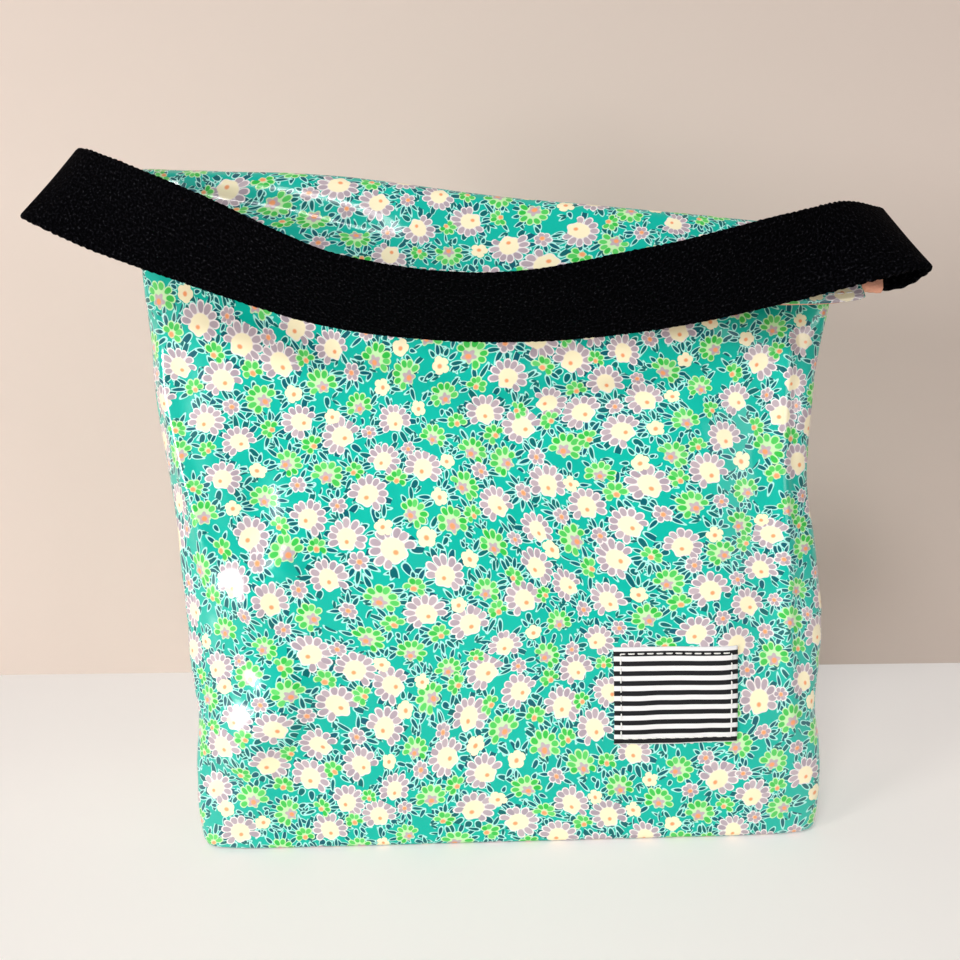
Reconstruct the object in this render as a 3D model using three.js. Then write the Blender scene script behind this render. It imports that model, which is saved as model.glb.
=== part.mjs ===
// Fold-top lunch bag with a wide webbing handle. Millimetres, Z up, front of the bag towards -Y.
import * as THREE from "three";

// Driving dimensions
const BASE_WIDTH = 238;
const BASE_DEPTH = 74;
const FOLD_HEIGHT = 234; // height of the line where the mouth starts to fold over
const FOLD_SLOPE = 6.1; // degrees, the fold line falls to the right
const HANDLE_SLOPE = 4.8; // degrees, the line through the handle's two ends
const FOLD_LEAN = -2.5; // how far the fold line's middle stands to the side of the base
const FOLD_HALF_DEPTH = 4; // half the thickness of the flattened bag at the fold
const FOLD_HALF_WIDTH = 133;
const FOLD_TURN = 150; // degrees from standing up to lying folded over
const FOLD_INSIDE = 0.8; // radius left inside the fold
const LIP_DEPTH = 31; // fold line to mouth edge in the middle
const LIP_END_RISE = 9; // the mouth edge is this much shorter at its two ends
const LIP_HALF_WIDTH = FOLD_HALF_WIDTH + 6;
const LIP_HALF_DEPTH = 6.5;
const EDGE_ROUND = 4; // rounding of the bag's lower edge
const SHELL = 0.6; // outer laminated cloth
const LINING = 0.5;
const CLEAR = 0.3; // gap kept between sewn pieces
const WEBBING_WIDTH = 32;
const WEBBING_THICK = 2.2;
const TAIL_WIDTH = 14; // the part of the webbing that is sewn into the mouth
const TAIL_SEWN = 23; // how far it reaches in from the lip's end
const TAIL_OUT = 4.5; // from the lip's end to where the webbing leaves the tab
const TAB_CLOTH = 0.6;
const PATCH_WIDTH = 46;
const PATCH_HEIGHT = 38;
const PATCH_X = 62;
const PATCH_Z = 60;
const PATCH_THICK = 0.5;
const THREAD = 0.5;
const STITCH_INSET = 2.5;
const MOUTH_STITCH_INSET = 4;

// Mesh density
const AROUND = 30;
const UPWARD = 11;
const FOLD_STEPS = 6;
const LIP_STEPS = 3;
const WEBBING_STEPS = 84;

// Side view and front view of the body: share of the height, then the value there
const WIDTH_GAIN = [[0, 0], [0.08, 1.7], [0.23, 1.8], [0.33, 2.8], [0.5, 1.2], [0.62, 2], [0.75, 5.5], [0.9, 10.8]];
const DEPTH_GAIN = [[0, 0], [0.12, 1], [0.3, 0.5], [0.5, -4], [0.7, -13], [0.85, -22], [0.94, -29]];
const SQUARENESS = [[0, 14], [0.2, 9], [0.5, 7], [0.7, 5.5], [0.85, 4.2], [1, 3]];
const SWAY = [[0, 0], [0.3, 0], [0.4, -0.8], [0.5, -3.3], [0.62, -5.8], [0.75, -5.7], [0.88, -4]];

const FOLD_AXIS_Y = -(FOLD_HALF_DEPTH + FOLD_INSIDE);
const SEAM_GAP = CLEAR / 2;
const LIP_SEAM_GAP = WEBBING_THICK / 2 + CLEAR;
const LINING_INSET = SHELL + CLEAR;
const TAIL_IN = LIP_HALF_WIDTH - TAIL_SEWN;
const HANDLE_ROOT = LIP_HALF_WIDTH + TAIL_OUT;
const TAIL_WIDENS_FROM = LIP_HALF_WIDTH - 0.1; // between these two the webbing opens to its full width
const TAIL_WIDENS_TO = LIP_HALF_WIDTH + 0.3;
const BASE_LINING_Z = SHELL + CLEAR;

const materials = {
  print: new THREE.MeshStandardMaterial({ color: 0x12b3a6, roughness: 0.3, metalness: 0 }),
  lining: new THREE.MeshStandardMaterial({ color: 0xf0a98c, roughness: 0.75, metalness: 0 }),
  webbing: new THREE.MeshStandardMaterial({ color: 0x0b0b0e, roughness: 0.95, metalness: 0 }),
  patch: new THREE.MeshStandardMaterial({ color: 0xe9e9ea, roughness: 0.7, metalness: 0 }),
  thread: new THREE.MeshStandardMaterial({ color: 0xf7f7f4, roughness: 0.6, metalness: 0 }),
  darkThread: new THREE.MeshStandardMaterial({ color: 0x2a2c2e, roughness: 0.7, metalness: 0 }),
};

// Smooth value at share t through [share, value] keys
function follow(keys, t) {
  const last = keys.length - 1;
  let i = 0;
  while (i < last - 1 && t > keys[i + 1][0]) i += 1;
  const slope = (k) => {
    const a = keys[Math.max(k - 1, 0)];
    const b = keys[Math.min(k + 1, last)];
    return (b[1] - a[1]) / (b[0] - a[0]);
  };
  const [t0, v0] = keys[i];
  const [t1, v1] = keys[i + 1];
  const span = t1 - t0;
  const s = Math.min(Math.max((t - t0) / span, 0), 1);
  const a = (1 + 2 * s) * (1 - s) ** 2 * v0 + s * (1 - s) ** 2 * span * slope(i);
  return a + s * s * (3 - 2 * s) * v1 + s * s * (s - 1) * span * slope(i + 1);
}

// Keys given as gains on the base's half size, ended with the value at the fold
function halfSize(gains, base, top, t) {
  const keys = gains.map(([share, gain]) => [share, base / 2 + gain]);
  return follow([...keys, [1, top]], t);
}

// Half width, half depth and squareness of the body at height z
function bodySection(z) {
  const t = z / FOLD_HEIGHT;
  const under = Math.max(EDGE_ROUND - z, 0);
  const tuck = (EDGE_ROUND - Math.sqrt(EDGE_ROUND ** 2 - under ** 2)) / 2;
  return {
    w: halfSize(WIDTH_GAIN, BASE_WIDTH, FOLD_HALF_WIDTH, t) - tuck,
    h: halfSize(DEPTH_GAIN, BASE_DEPTH, FOLD_HALF_DEPTH, t) - tuck,
    n: follow(SQUARENESS, t),
  };
}

// Width and depth of the mouth at height s above the fold line, as if the bag stood open
function lipSection(s) {
  const share = s / LIP_DEPTH;
  return {
    w: FOLD_HALF_WIDTH + (LIP_HALF_WIDTH - FOLD_HALF_WIDTH) * share,
    h: FOLD_HALF_DEPTH + (LIP_HALF_DEPTH - FOLD_HALF_DEPTH) * share,
    n: follow(SQUARENESS, 1),
  };
}

// A point of a section's front half, x and the distance forward, for a direction angle
function sectionPoint({ w, h, n }, angle, inset, gap) {
  const c = Math.cos(angle);
  const s = Math.sin(angle);
  const r = (Math.abs(c) ** n + Math.abs(s) ** n) ** (-1 / n);
  return [(w - inset) * r * c, gap + (h - inset - gap) * r * s];
}

// Direction angles that spread points evenly along the front half, closer in its corners
function sectionAngles(section) {
  const fine = 720;
  const cornerWeight = 14;
  const total = [0];
  let before = sectionPoint(section, Math.PI, 0, 0);
  let heading = Math.PI / 2;
  for (let i = 1; i <= fine; i += 1) {
    const p = sectionPoint(section, Math.PI * (1 - i / fine), 0, 0);
    const next = Math.atan2(p[1] - before[1], p[0] - before[0]);
    const length = Math.hypot(p[0] - before[0], p[1] - before[1]);
    total.push(total[i - 1] + length + cornerWeight * Math.abs(next - heading));
    before = p;
    heading = next;
  }
  const angles = [];
  let k = 0;
  for (let j = 0; j <= AROUND; j += 1) {
    const want = (total[fine] * j) / AROUND;
    while (k < fine - 1 && total[k + 1] < want) k += 1;
    const part = (want - total[k]) / (total[k + 1] - total[k]);
    angles.push(Math.PI * (1 - (k + part) / fine));
  }
  return angles;
}

// Frame at the top of the body whose local X falls to the right by so many degrees
function slopedFrame(degrees) {
  return new THREE.Matrix4().multiplyMatrices(
    new THREE.Matrix4().makeTranslation(FOLD_LEAN, 0, FOLD_HEIGHT),
    new THREE.Matrix4().makeRotationY(THREE.MathUtils.degToRad(degrees)),
  );
}

const topFrame = slopedFrame(FOLD_SLOPE);
const handleFrame = slopedFrame(HANDLE_SLOPE);
const handleInTop = topFrame.clone().invert().multiply(handleFrame);

// Places a section point of the body: side is -1 for the front and 1 for the back
function bodyPlace(z, x, forward, side) {
  const t = z / FOLD_HEIGHT;
  const slope = THREE.MathUtils.degToRad(FOLD_SLOPE) * t * t;
  const lean = follow([...SWAY, [1, FOLD_LEAN]], t);
  return new THREE.Vector3(lean + x * Math.cos(slope), side * forward, z - x * Math.sin(slope));
}

// Turns a point about the fold axis, in the frame of the fold line
function turned(x, y, z, degrees) {
  const a = THREE.MathUtils.degToRad(degrees);
  const dy = y - FOLD_AXIS_Y;
  return new THREE.Vector3(
    x,
    FOLD_AXIS_Y + dy * Math.cos(a) - z * Math.sin(a),
    dy * Math.sin(a) + z * Math.cos(a),
  );
}

function toTop(point) {
  return point.applyMatrix4(topFrame);
}

function toHandle(point) {
  return point.applyMatrix4(handleFrame);
}

// Closed mesh from points and triangles, turned outwards if it is inside out
function solid(points, triangles) {
  const volume = triangles.reduce((sum, [a, b, c]) => {
    const cross = new THREE.Vector3().crossVectors(points[b], points[c]);
    return sum + points[a].dot(cross);
  }, 0);
  const faces = volume < 0 ? triangles.map(([a, b, c]) => [a, c, b]) : triangles;
  const geometry = new THREE.BufferGeometry();
  geometry.setAttribute("position", new THREE.Float32BufferAttribute(points.flatMap((p) => p.toArray()), 3));
  geometry.setIndex(faces.flat());
  geometry.computeVertexNormals();
  return geometry;
}

// Cloth of even thickness between an outer and an inner grid of points
function cloth(rows, columns, outer, inner) {
  const points = [];
  for (const place of [outer, inner]) {
    for (let i = 0; i <= rows; i += 1) {
      for (let j = 0; j <= columns; j += 1) points.push(place(i, j));
    }
  }
  const sheet = (rows + 1) * (columns + 1);
  const at = (i, j) => i * (columns + 1) + j;
  const triangles = [];
  const quad = (a, b, c, d) => triangles.push([a, b, c], [a, c, d]);
  for (let i = 0; i < rows; i += 1) {
    for (let j = 0; j < columns; j += 1) {
      quad(at(i, j), at(i, j + 1), at(i + 1, j + 1), at(i + 1, j));
      quad(sheet + at(i, j), sheet + at(i + 1, j), sheet + at(i + 1, j + 1), sheet + at(i, j + 1));
    }
  }
  const edge = (a, b) => quad(b, a, sheet + a, sheet + b);
  for (let j = 0; j < columns; j += 1) {
    edge(at(0, j), at(0, j + 1));
    edge(at(rows, j + 1), at(rows, j));
  }
  for (let i = 0; i < rows; i += 1) {
    edge(at(i + 1, 0), at(i, 0));
    edge(at(i, columns), at(i + 1, columns));
  }
  return solid(points, triangles);
}

// Solid through a list of equal sections, joined into a ring when closed
function swept(sections, closed) {
  const count = sections[0].length;
  const points = sections.flat();
  const triangles = [];
  const spans = closed ? sections.length : sections.length - 1;
  for (let i = 0; i < spans; i += 1) {
    const next = ((i + 1) % sections.length) * count;
    for (let j = 0; j < count; j += 1) {
      const k = (j + 1) % count;
      triangles.push([i * count + j, i * count + k, next + k], [i * count + j, next + k, next + j]);
    }
  }
  if (!closed) {
    const end = (sections.length - 1) * count;
    for (let j = 1; j < count - 1; j += 1) triangles.push([0, j + 1, j], [end, end + j, end + j + 1]);
  }
  return solid(points, triangles);
}

// Body cloth, front or back, up to the fold line; the lining starts a little above the base
function bodyCloth(side, inset, thick) {
  const heights = [EDGE_ROUND * 0.4, EDGE_ROUND];
  if (inset === 0) heights.unshift(0);
  for (let i = 1; i <= UPWARD; i += 1) {
    heights.push(EDGE_ROUND + ((FOLD_HEIGHT - CLEAR - EDGE_ROUND) * i) / UPWARD);
  }
  const sections = heights.map((z) => ({ z, shape: bodySection(z) }));
  const angles = sections.map(({ shape }) => sectionAngles(shape));
  const place = (depth) => (i, j) => {
    const { z, shape } = sections[i];
    const [x, forward] = sectionPoint(shape, angles[i][j], depth, SEAM_GAP);
    return bodyPlace(z, x, forward, side);
  };
  return cloth(heights.length - 1, AROUND, place(inset), place(inset + thick));
}

// Flat floor of cloth inside the body's outline, from height z upwards
function floorCloth(z, inset, thick) {
  const section = bodySection(z);
  const angles = sectionAngles(section).slice(1, -1);
  const place = (height) => (i, j) => {
    const [x, forward] = sectionPoint(section, angles[j], inset, 0);
    return new THREE.Vector3(x, forward * (i - 1), height);
  };
  return cloth(2, angles.length - 1, place(z + thick), place(z));
}

// Cloth that runs over the fold, front or back
function foldCloth(side, inset, thick) {
  const shape = bodySection(FOLD_HEIGHT);
  const angles = sectionAngles(shape);
  const place = (depth) => (i, j) => {
    const [x, forward] = sectionPoint(shape, angles[j], depth, SEAM_GAP);
    return toTop(turned(x, side * forward, 0, (FOLD_TURN * i) / FOLD_STEPS));
  };
  return cloth(FOLD_STEPS, AROUND, place(inset), place(inset + thick));
}

// Depth of the mouth's cloth at a share of its half width
function lipReach(share) {
  return LIP_DEPTH - LIP_END_RISE * Math.abs(share) ** 3;
}

function lipPoint(side, angle, s, inset) {
  const [x, forward] = sectionPoint(lipSection(s), angle, inset, LIP_SEAM_GAP);
  return toTop(turned(x, side * forward, s, FOLD_TURN));
}

// Mouth cloth, front or back, between two distances from its edge towards the fold line
function lipCloth(side, inset, thick, edge, start, steps) {
  const angles = sectionAngles(lipSection(LIP_DEPTH / 2));
  const place = (depth) => (i, j) => {
    const end = lipReach(Math.cos(angles[j])) - edge;
    const begin = start === null ? CLEAR : end - start;
    return lipPoint(side, angles[j], begin + ((end - begin) * i) / steps, depth);
  };
  return cloth(steps, AROUND, place(inset), place(inset + thick));
}

// A strip's section: points around a rectangle with cut corners
function stripSection(centre, across, through, width, thick) {
  const cut = thick * 0.28;
  const [w, t] = [width / 2, thick / 2];
  const corners = [
    [w, cut - t], [w, t - cut], [w - cut, t], [cut - w, t],
    [-w, t - cut], [-w, cut - t], [cut - w, -t], [w - cut, -t],
  ];
  return corners.map(([a, b]) => centre.clone().addScaledVector(across, a).addScaledVector(through, b));
}

// Share of the course at each end in which the webbing bends and twists as the handle swings
const BEND_SHARE = 0.37;

// The free webbing from right to left, in the handle's frame. For each key: share of HANDLE_ROOT,
// further out, y and z of the upper edge, then the direction across to the lower edge
const HANDLE_COURSE = [
  [[1, 0, -5.6, 11.8], [0, -0.45, -0.89]],
  [[1, 0.6, -6.6, 11.4], [0.16, -0.47, -0.87]],
  [[1, -0.2, -10, 10.8], [0.38, -0.56, -0.72]],
  [[1, -7, -18, 11], [0.46, -0.55, -0.68]],
  [[0.855, 0, -27, 12.3], [0.4, -0.42, -0.8]],
  [[0.697, 0, -42.5, 6.5], [0.15, 0.32, -0.93]],
  [[0.355, 0, -51, -8.5], [0.06, 0.47, -0.88]],
  [[0, 0, -59, -20], [0, 0.69, -0.72]],
  [[-0.355, 0, -56, -16.6], [-0.06, 0.63, -0.77]],
  [[-0.69, 0, -46.5, 0.4], [-0.19, 0.33, -0.93]],
  [[-0.912, 0, -28.5, 10.8], [-0.28, -0.14, -0.95]],
  [[-1, 0, -19, 14], [-0.36, -0.33, -0.87]],
  [[-1, 4.2, -11.5, 13.8], [-0.5, -0.38, -0.78]],
  [[-1, 3, -6.4, 12.4], [-0.22, -0.44, -0.87]],
  [[-1, 0, -5.6, 11.8], [0, -0.45, -0.89]],
];

// Point of the webbing at a distance from its upper edge, for a key of the course
function coursePoint([[share, out, y, z], direction], distance) {
  const edge = new THREE.Vector3(share * HANDLE_ROOT + Math.sign(share) * out, y, z);
  return edge.addScaledVector(new THREE.Vector3(...direction).normalize(), distance);
}

// A stretch of the free webbing between two shares of its course, with a gap where it meets the next
function handleStrap(from, to) {
  const edge = (distance) => {
    const points = HANDLE_COURSE.map((key) => coursePoint(key, distance));
    return new THREE.CatmullRomCurve3(points, false, "centripetal");
  };
  const [upper, middle, lower] = [edge(0), edge(WEBBING_WIDTH / 2), edge(WEBBING_WIDTH)];
  const ahead = (u) => middle.getPoint(Math.min(u + 0.01, 1)).sub(middle.getPoint(Math.max(u - 0.01, 0)));
  const gap = (u) => (CLEAR * 0.01) / ahead(u).length();
  const start = from === 0 ? 0 : from + gap(from);
  const end = to === 1 ? 1 : to - gap(to);
  const steps = Math.round(WEBBING_STEPS * (to - from));
  const sections = [];
  for (let i = 0; i <= steps; i += 1) {
    const u = start + ((end - start) * i) / steps;
    const across = lower.getPoint(u).sub(upper.getPoint(u));
    const forward = u === 0 || u === 1 ? new THREE.Vector3(1, 0, 0) : ahead(u);
    const through = new THREE.Vector3().crossVectors(across, forward).normalize();
    const centre = upper.getPoint(u).addScaledVector(across, 0.5);
    const width = across.length();
    sections.push(stripSection(centre, across.normalize(), through, width, WEBBING_THICK).map(toHandle));
  }
  return swept(sections, false);
}

// Middle, edge direction and thickness direction of the sewn-in webbing at x, on one side
function tailFrame(x, side) {
  const s = THREE.MathUtils.smoothstep(x, TAIL_WIDENS_FROM, TAIL_WIDENS_TO);
  const sewn = turned(side * x, 0, CLEAR * 3 + TAIL_WIDTH / 2, FOLD_TURN);
  const along = turned(0, 0, 1, FOLD_TURN).sub(turned(0, 0, 0, FOLD_TURN));
  const root = coursePoint(HANDLE_COURSE[0], WEBBING_WIDTH / 2).setX(side * x).applyMatrix4(handleInTop);
  const direction = new THREE.Vector3(...HANDLE_COURSE[0][1]).transformDirection(handleInTop);
  const across = along.lerp(direction, s).normalize();
  const outwards = new THREE.Vector3(1, 0, 0).transformDirection(handleInTop);
  return {
    centre: sewn.lerp(root, s),
    across,
    through: new THREE.Vector3(1, 0, 0).lerp(outwards, s).cross(across).normalize(),
    width: TAIL_WIDTH + (WEBBING_WIDTH - TAIL_WIDTH) * s,
  };
}

function webbingTail(side) {
  const widening = [TAIL_WIDENS_FROM, (TAIL_WIDENS_FROM + TAIL_WIDENS_TO) / 2, TAIL_WIDENS_TO];
  const stops = [TAIL_IN, TAIL_IN + TAIL_SEWN / 2, ...widening, HANDLE_ROOT - CLEAR];
  const sections = stops.map((x) => {
    const { centre, across, through, width } = tailFrame(x, side);
    return stripSection(centre, across, through, width, WEBBING_THICK).map(toTop);
  });
  return swept(sections, false);
}

// Cloth sleeve round the webbing where it leaves the mouth
function webbingTab(side) {
  const ring = (x, grow) => {
    const { centre, across, through } = tailFrame(x, side);
    return stripSection(centre, across, through, WEBBING_WIDTH + 2 * grow, WEBBING_THICK + 2 * grow).map(toTop);
  };
  const end = HANDLE_ROOT - CLEAR;
  const outside = CLEAR + TAB_CLOTH;
  const start = TAIL_WIDENS_TO;
  return swept([ring(start, CLEAR), ring(end, CLEAR), ring(end, outside), ring(start, outside)], true);
}

// Thread laid along a closed path of points, with the outward direction at each point
function threadLoop(path) {
  const sections = path.map(({ point, out, along }) => {
    const side = new THREE.Vector3().crossVectors(along, out).normalize();
    const corners = [[0.5, 0], [0.5, 1], [-0.5, 1], [-0.5, 0]];
    return corners.map(([a, b]) => point.clone()
      .addScaledVector(side, a * THREAD)
      .addScaledVector(out, CLEAR + b * THREAD));
  });
  return swept(sections, true);
}

// Corner points of a rectangle with a few points along each side
function rectanglePath(width, height, steps) {
  const corners = [[-1, -1], [1, -1], [1, 1], [-1, 1]];
  const path = [];
  corners.forEach(([a, b], k) => {
    const [c, d] = corners[(k + 1) % 4];
    for (let i = 0; i < steps; i += 1) {
      const s = i / steps;
      path.push([((a + (c - a) * s) * width) / 2, ((b + (d - b) * s) * height) / 2]);
    }
  });
  return path;
}

// Lays a flat rectangle's path on a surface given by place(u, v, outset)
function threadRectangle(width, height, steps, place) {
  const path = rectanglePath(width, height, steps).map(([u, v]) => {
    const point = place(u, v, 0);
    const out = place(u, v, 1).sub(point).normalize();
    return { point, out };
  });
  path.forEach((item, i) => {
    const next = path[(i + 1) % path.length].point;
    const last = path[(i + path.length - 1) % path.length].point;
    const forward = next.clone().sub(item.point).normalize();
    const back = item.point.clone().sub(last).normalize();
    item.along = forward.add(back);
  });
  return threadLoop(path);
}

// A point on the front of the body
function frontPoint(x, z, outset) {
  const { w, h, n } = bodySection(z);
  const reach = (h + outset - SEAM_GAP) * (1 - Math.abs(x / (w + outset)) ** n) ** (1 / n);
  return bodyPlace(z, x, SEAM_GAP + reach, -1);
}

function patchPoint(u, v, outset) {
  return frontPoint(PATCH_X + u, PATCH_Z + v, outset);
}

function patchCloth() {
  const [rows, columns] = [4, 5];
  const place = (outset) => (i, j) => patchPoint(
    (j / columns - 0.5) * PATCH_WIDTH,
    (i / rows - 0.5) * PATCH_HEIGHT,
    outset,
  );
  return cloth(rows, columns, place(CLEAR + PATCH_THICK), place(CLEAR));
}

function patchStitching() {
  return threadRectangle(PATCH_WIDTH - 2 * STITCH_INSET, PATCH_HEIGHT - 2 * STITCH_INSET, 4, (u, v, outset) => (
    patchPoint(u, v, CLEAR + PATCH_THICK + outset)
  ));
}

// Stitching that holds the sewn-in webbing, on the back lip's outer face
function webbingStitching(side) {
  const width = 9;
  const middleX = TAIL_IN + width / 2 + 2;
  return threadRectangle(width, TAIL_WIDTH - 4, 2, (u, v, outset) => {
    const s = CLEAR * 3 + TAIL_WIDTH / 2 + v;
    const { w, h, n } = lipSection(s);
    const x = middleX + u;
    const reach = (h - LIP_SEAM_GAP) * (1 - (x / w) ** n) ** (1 / n);
    return toTop(turned(side * x, LIP_SEAM_GAP + reach + outset, s, FOLD_TURN));
  });
}

const bag = new THREE.Group();

function add(name, geometry, material) {
  const mesh = new THREE.Mesh(geometry, material);
  mesh.name = name;
  bag.add(mesh);
}

// Outer cloth and lining of the body
for (const [name, side] of [["front", -1], ["back", 1]]) {
  add(name + "_panel", bodyCloth(side, 0, SHELL), materials.print);
  add(name + "_lining", bodyCloth(side, LINING_INSET, LINING), materials.lining);
}
add("base_panel", floorCloth(0, SHELL + CLEAR, SHELL), materials.print);
add("base_lining", floorCloth(BASE_LINING_Z, LINING_INSET + LINING + CLEAR, LINING), materials.lining);

// The fold
for (const [name, side] of [["front", -1], ["back", 1]]) {
  add(name + "_fold", foldCloth(side, 0, SHELL), materials.print);
  add(name + "_fold_lining", foldCloth(side, LINING_INSET, LINING), materials.lining);
}

// The folded-over mouth
for (const [name, side] of [["front", -1], ["back", 1]]) {
  add(name + "_lip", lipCloth(side, 0, SHELL, 0, null, LIP_STEPS), materials.print);
  add(name + "_lip_lining", lipCloth(side, LINING_INSET, LINING, 0, null, LIP_STEPS), materials.lining);
  add(name + "_mouth_stitching",
    lipCloth(side, -CLEAR - THREAD, THREAD, MOUTH_STITCH_INSET, THREAD, 1), materials.thread);
}

// Patch on the front
add("patch", patchCloth(), materials.patch);
add("patch_stitching", patchStitching(), materials.thread);

// Handle and its sewn ends
for (const [name, side] of [["left", -1], ["right", 1]]) {
  add(name + "_handle_end", webbingTail(side), materials.webbing);
  add(name + "_handle_tab", webbingTab(side), materials.lining);
  add(name + "_handle_stitching", webbingStitching(side), materials.darkThread);
}
add("right_handle_bend", handleStrap(0, BEND_SHARE), materials.webbing);
add("handle", handleStrap(BEND_SHARE, 1 - BEND_SHARE), materials.webbing);
add("left_handle_bend", handleStrap(1 - BEND_SHARE, 1), materials.webbing);

export default bag;
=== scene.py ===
import math
import bmesh
import bpy
import numpy as np
from mathutils import Matrix, Vector


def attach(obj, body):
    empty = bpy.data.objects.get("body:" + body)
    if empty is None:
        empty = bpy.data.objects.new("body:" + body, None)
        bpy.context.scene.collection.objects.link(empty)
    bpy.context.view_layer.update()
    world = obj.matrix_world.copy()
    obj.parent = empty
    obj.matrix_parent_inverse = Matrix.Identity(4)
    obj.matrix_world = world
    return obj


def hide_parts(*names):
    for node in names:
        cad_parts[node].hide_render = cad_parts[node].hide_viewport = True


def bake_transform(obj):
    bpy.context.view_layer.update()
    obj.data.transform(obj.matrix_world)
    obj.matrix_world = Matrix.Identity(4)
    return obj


# Fold-top lunch bag of laminated floral cloth with a wide webbing handle.
# Shapes are worked out in millimetres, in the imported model's frame, and laid down in metres.

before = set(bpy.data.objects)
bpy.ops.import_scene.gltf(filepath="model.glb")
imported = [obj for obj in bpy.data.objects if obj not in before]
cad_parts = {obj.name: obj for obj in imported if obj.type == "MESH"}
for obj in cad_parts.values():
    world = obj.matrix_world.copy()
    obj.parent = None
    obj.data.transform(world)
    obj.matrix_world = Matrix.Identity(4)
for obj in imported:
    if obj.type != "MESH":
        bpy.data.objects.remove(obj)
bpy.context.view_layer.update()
mm = 0.001

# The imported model's sizes, with the lips a little longer and pressed closer together
bagSize = dict(
    baseWidth=238, baseDepth=74, foldHeight=234, foldSlope=6.1, handleSlope=4.8, foldLean=-2.5,
    foldHalfDepth=4, foldHalfWidth=133, foldTurn=150, foldInside=0.8, lipDepth=33, lipEndRise=11,
    lipHalfWidth=139, lipHalfDepth=5, edgeRound=4, shell=0.6, lining=0.5, clear=0.3, liningSlack=0.4,
)
webbingSize = dict(
    width=32, thick=2.2, tailWidth=14, tailSewn=23, tailOut=4.5, tabCloth=0.6, tabHidden=4.4, tabShort=1.2,
    hingeY=-12.8, hingeZ=-2.5,
)
patchSize = dict(
    width=46, height=38, x=62, z=60, thick=0.5, inset=2.5, puff=0.25, puffEdge=0.12, sunk=0.15, waver=0.1,
    waverSize=7, rows=40, columns=48, seamAt=155,
)

# Along the height from base to fold: what the half width and half depth gain over the base's, how square
# the section is, and how far its middle sways to the right
widthGain = [(0, 0), (0.08, 1.7), (0.23, 1.8), (0.33, 2.8), (0.5, 1.2), (0.62, 2), (0.75, 5.5), (0.9, 10.8)]
depthGain = [(0, 0), (0.12, 1), (0.3, 0.5), (0.5, -4), (0.7, -13), (0.85, -22), (0.94, -29)]
squareness = [(0, 14), (0.2, 9), (0.5, 7), (0.7, 5.5), (0.85, 4.2), (1, 3)]
sway = [(0, 0), (0.3, 0), (0.4, -0.8), (0.5, -3.3), (0.62, -5.8), (0.75, -5.7), (0.88, -4)]

foldAxisY = -(bagSize["foldHalfDepth"] + bagSize["foldInside"])
seamGap = bagSize["clear"] / 2
lipSeamGap = webbingSize["thick"] / 2 + webbingSize["tabCloth"] + 2 * bagSize["clear"]
handleRoot = bagSize["lipHalfWidth"] + webbingSize["tailOut"]


# Helpers for the shape

def follow(keys, t):
    times = np.array([key[0] for key in keys], float)
    values = np.array([key[1] for key in keys], float)
    before = np.maximum(np.arange(len(keys)) - 1, 0)
    after = np.minimum(np.arange(len(keys)) + 1, len(keys) - 1)
    slopes = (values[after] - values[before]) / (times[after] - times[before])
    i = np.clip(np.searchsorted(times, t, side="left") - 1, 0, len(keys) - 2)
    span = times[i + 1] - times[i]
    s = np.clip((t - times[i]) / span, 0, 1)
    start = (1 + 2 * s) * (1 - s) ** 2 * values[i] + s * (1 - s) ** 2 * span * slopes[i]
    return start + s * s * (3 - 2 * s) * values[i + 1] + s * s * (s - 1) * span * slopes[i + 1]


def smooth(x, low, high):
    s = np.clip((np.asarray(x, float) - low) / (high - low), 0, 1)
    return s * s * (3 - 2 * s)


def unit(vector):
    return vector / np.linalg.norm(vector, axis=-1, keepdims=True)


def runAlong(points):
    return np.concatenate([[0], np.cumsum(np.linalg.norm(np.diff(points, axis=0), axis=1))])


# A section is its half width, half depth and squareness
def bodySection(z):
    t = z / bagSize["foldHeight"]
    edge = bagSize["edgeRound"]
    under = max(edge - z, 0)
    tuck = (edge - math.sqrt(edge ** 2 - under ** 2)) / 2
    half = bagSize["baseWidth"] / 2
    deep = bagSize["baseDepth"] / 2
    wide = [(key, half + gain) for key, gain in widthGain] + [(1, bagSize["foldHalfWidth"])]
    thick = [(key, deep + gain) for key, gain in depthGain] + [(1, bagSize["foldHalfDepth"])]
    return follow(wide, t) - tuck, follow(thick, t) - tuck, follow(squareness, t)


def lipSection(s):
    share = s / bagSize["lipDepth"]
    w = bagSize["foldHalfWidth"] + (bagSize["lipHalfWidth"] - bagSize["foldHalfWidth"]) * share
    h = bagSize["foldHalfDepth"] + (bagSize["lipHalfDepth"] - bagSize["foldHalfDepth"]) * share
    return w, h, squareness[-1][1]


def sectionPoint(section, angle, inset, gap):
    w, h, n = section
    c, s = np.cos(angle), np.sin(angle)
    r = (np.abs(c) ** n + np.abs(s) ** n) ** (-1 / n)
    return (w - inset) * r * c, gap + (h - inset - gap) * r * s


# Angles at even steps along the section, and how long the section is
def evenAngles(section, columns, inset):
    angle = np.linspace(math.pi, 0, 2401)
    x, forward = sectionPoint(section, angle, inset, seamGap)
    run = np.concatenate([[0], np.cumsum(np.hypot(np.diff(x), np.diff(forward)))])
    return np.interp(np.linspace(0, run[-1], columns + 1), run, angle), run[-1]


def slopedFrame(degrees):
    place = Matrix.Translation((bagSize["foldLean"], 0, bagSize["foldHeight"]))
    return np.array(place @ Matrix.Rotation(math.radians(degrees), 4, "Y"))


topFrame = slopedFrame(bagSize["foldSlope"])
handleFrame = slopedFrame(bagSize["handleSlope"])


def placed(points, matrix):
    return points @ matrix[:3, :3].T + matrix[:3, 3]


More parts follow.
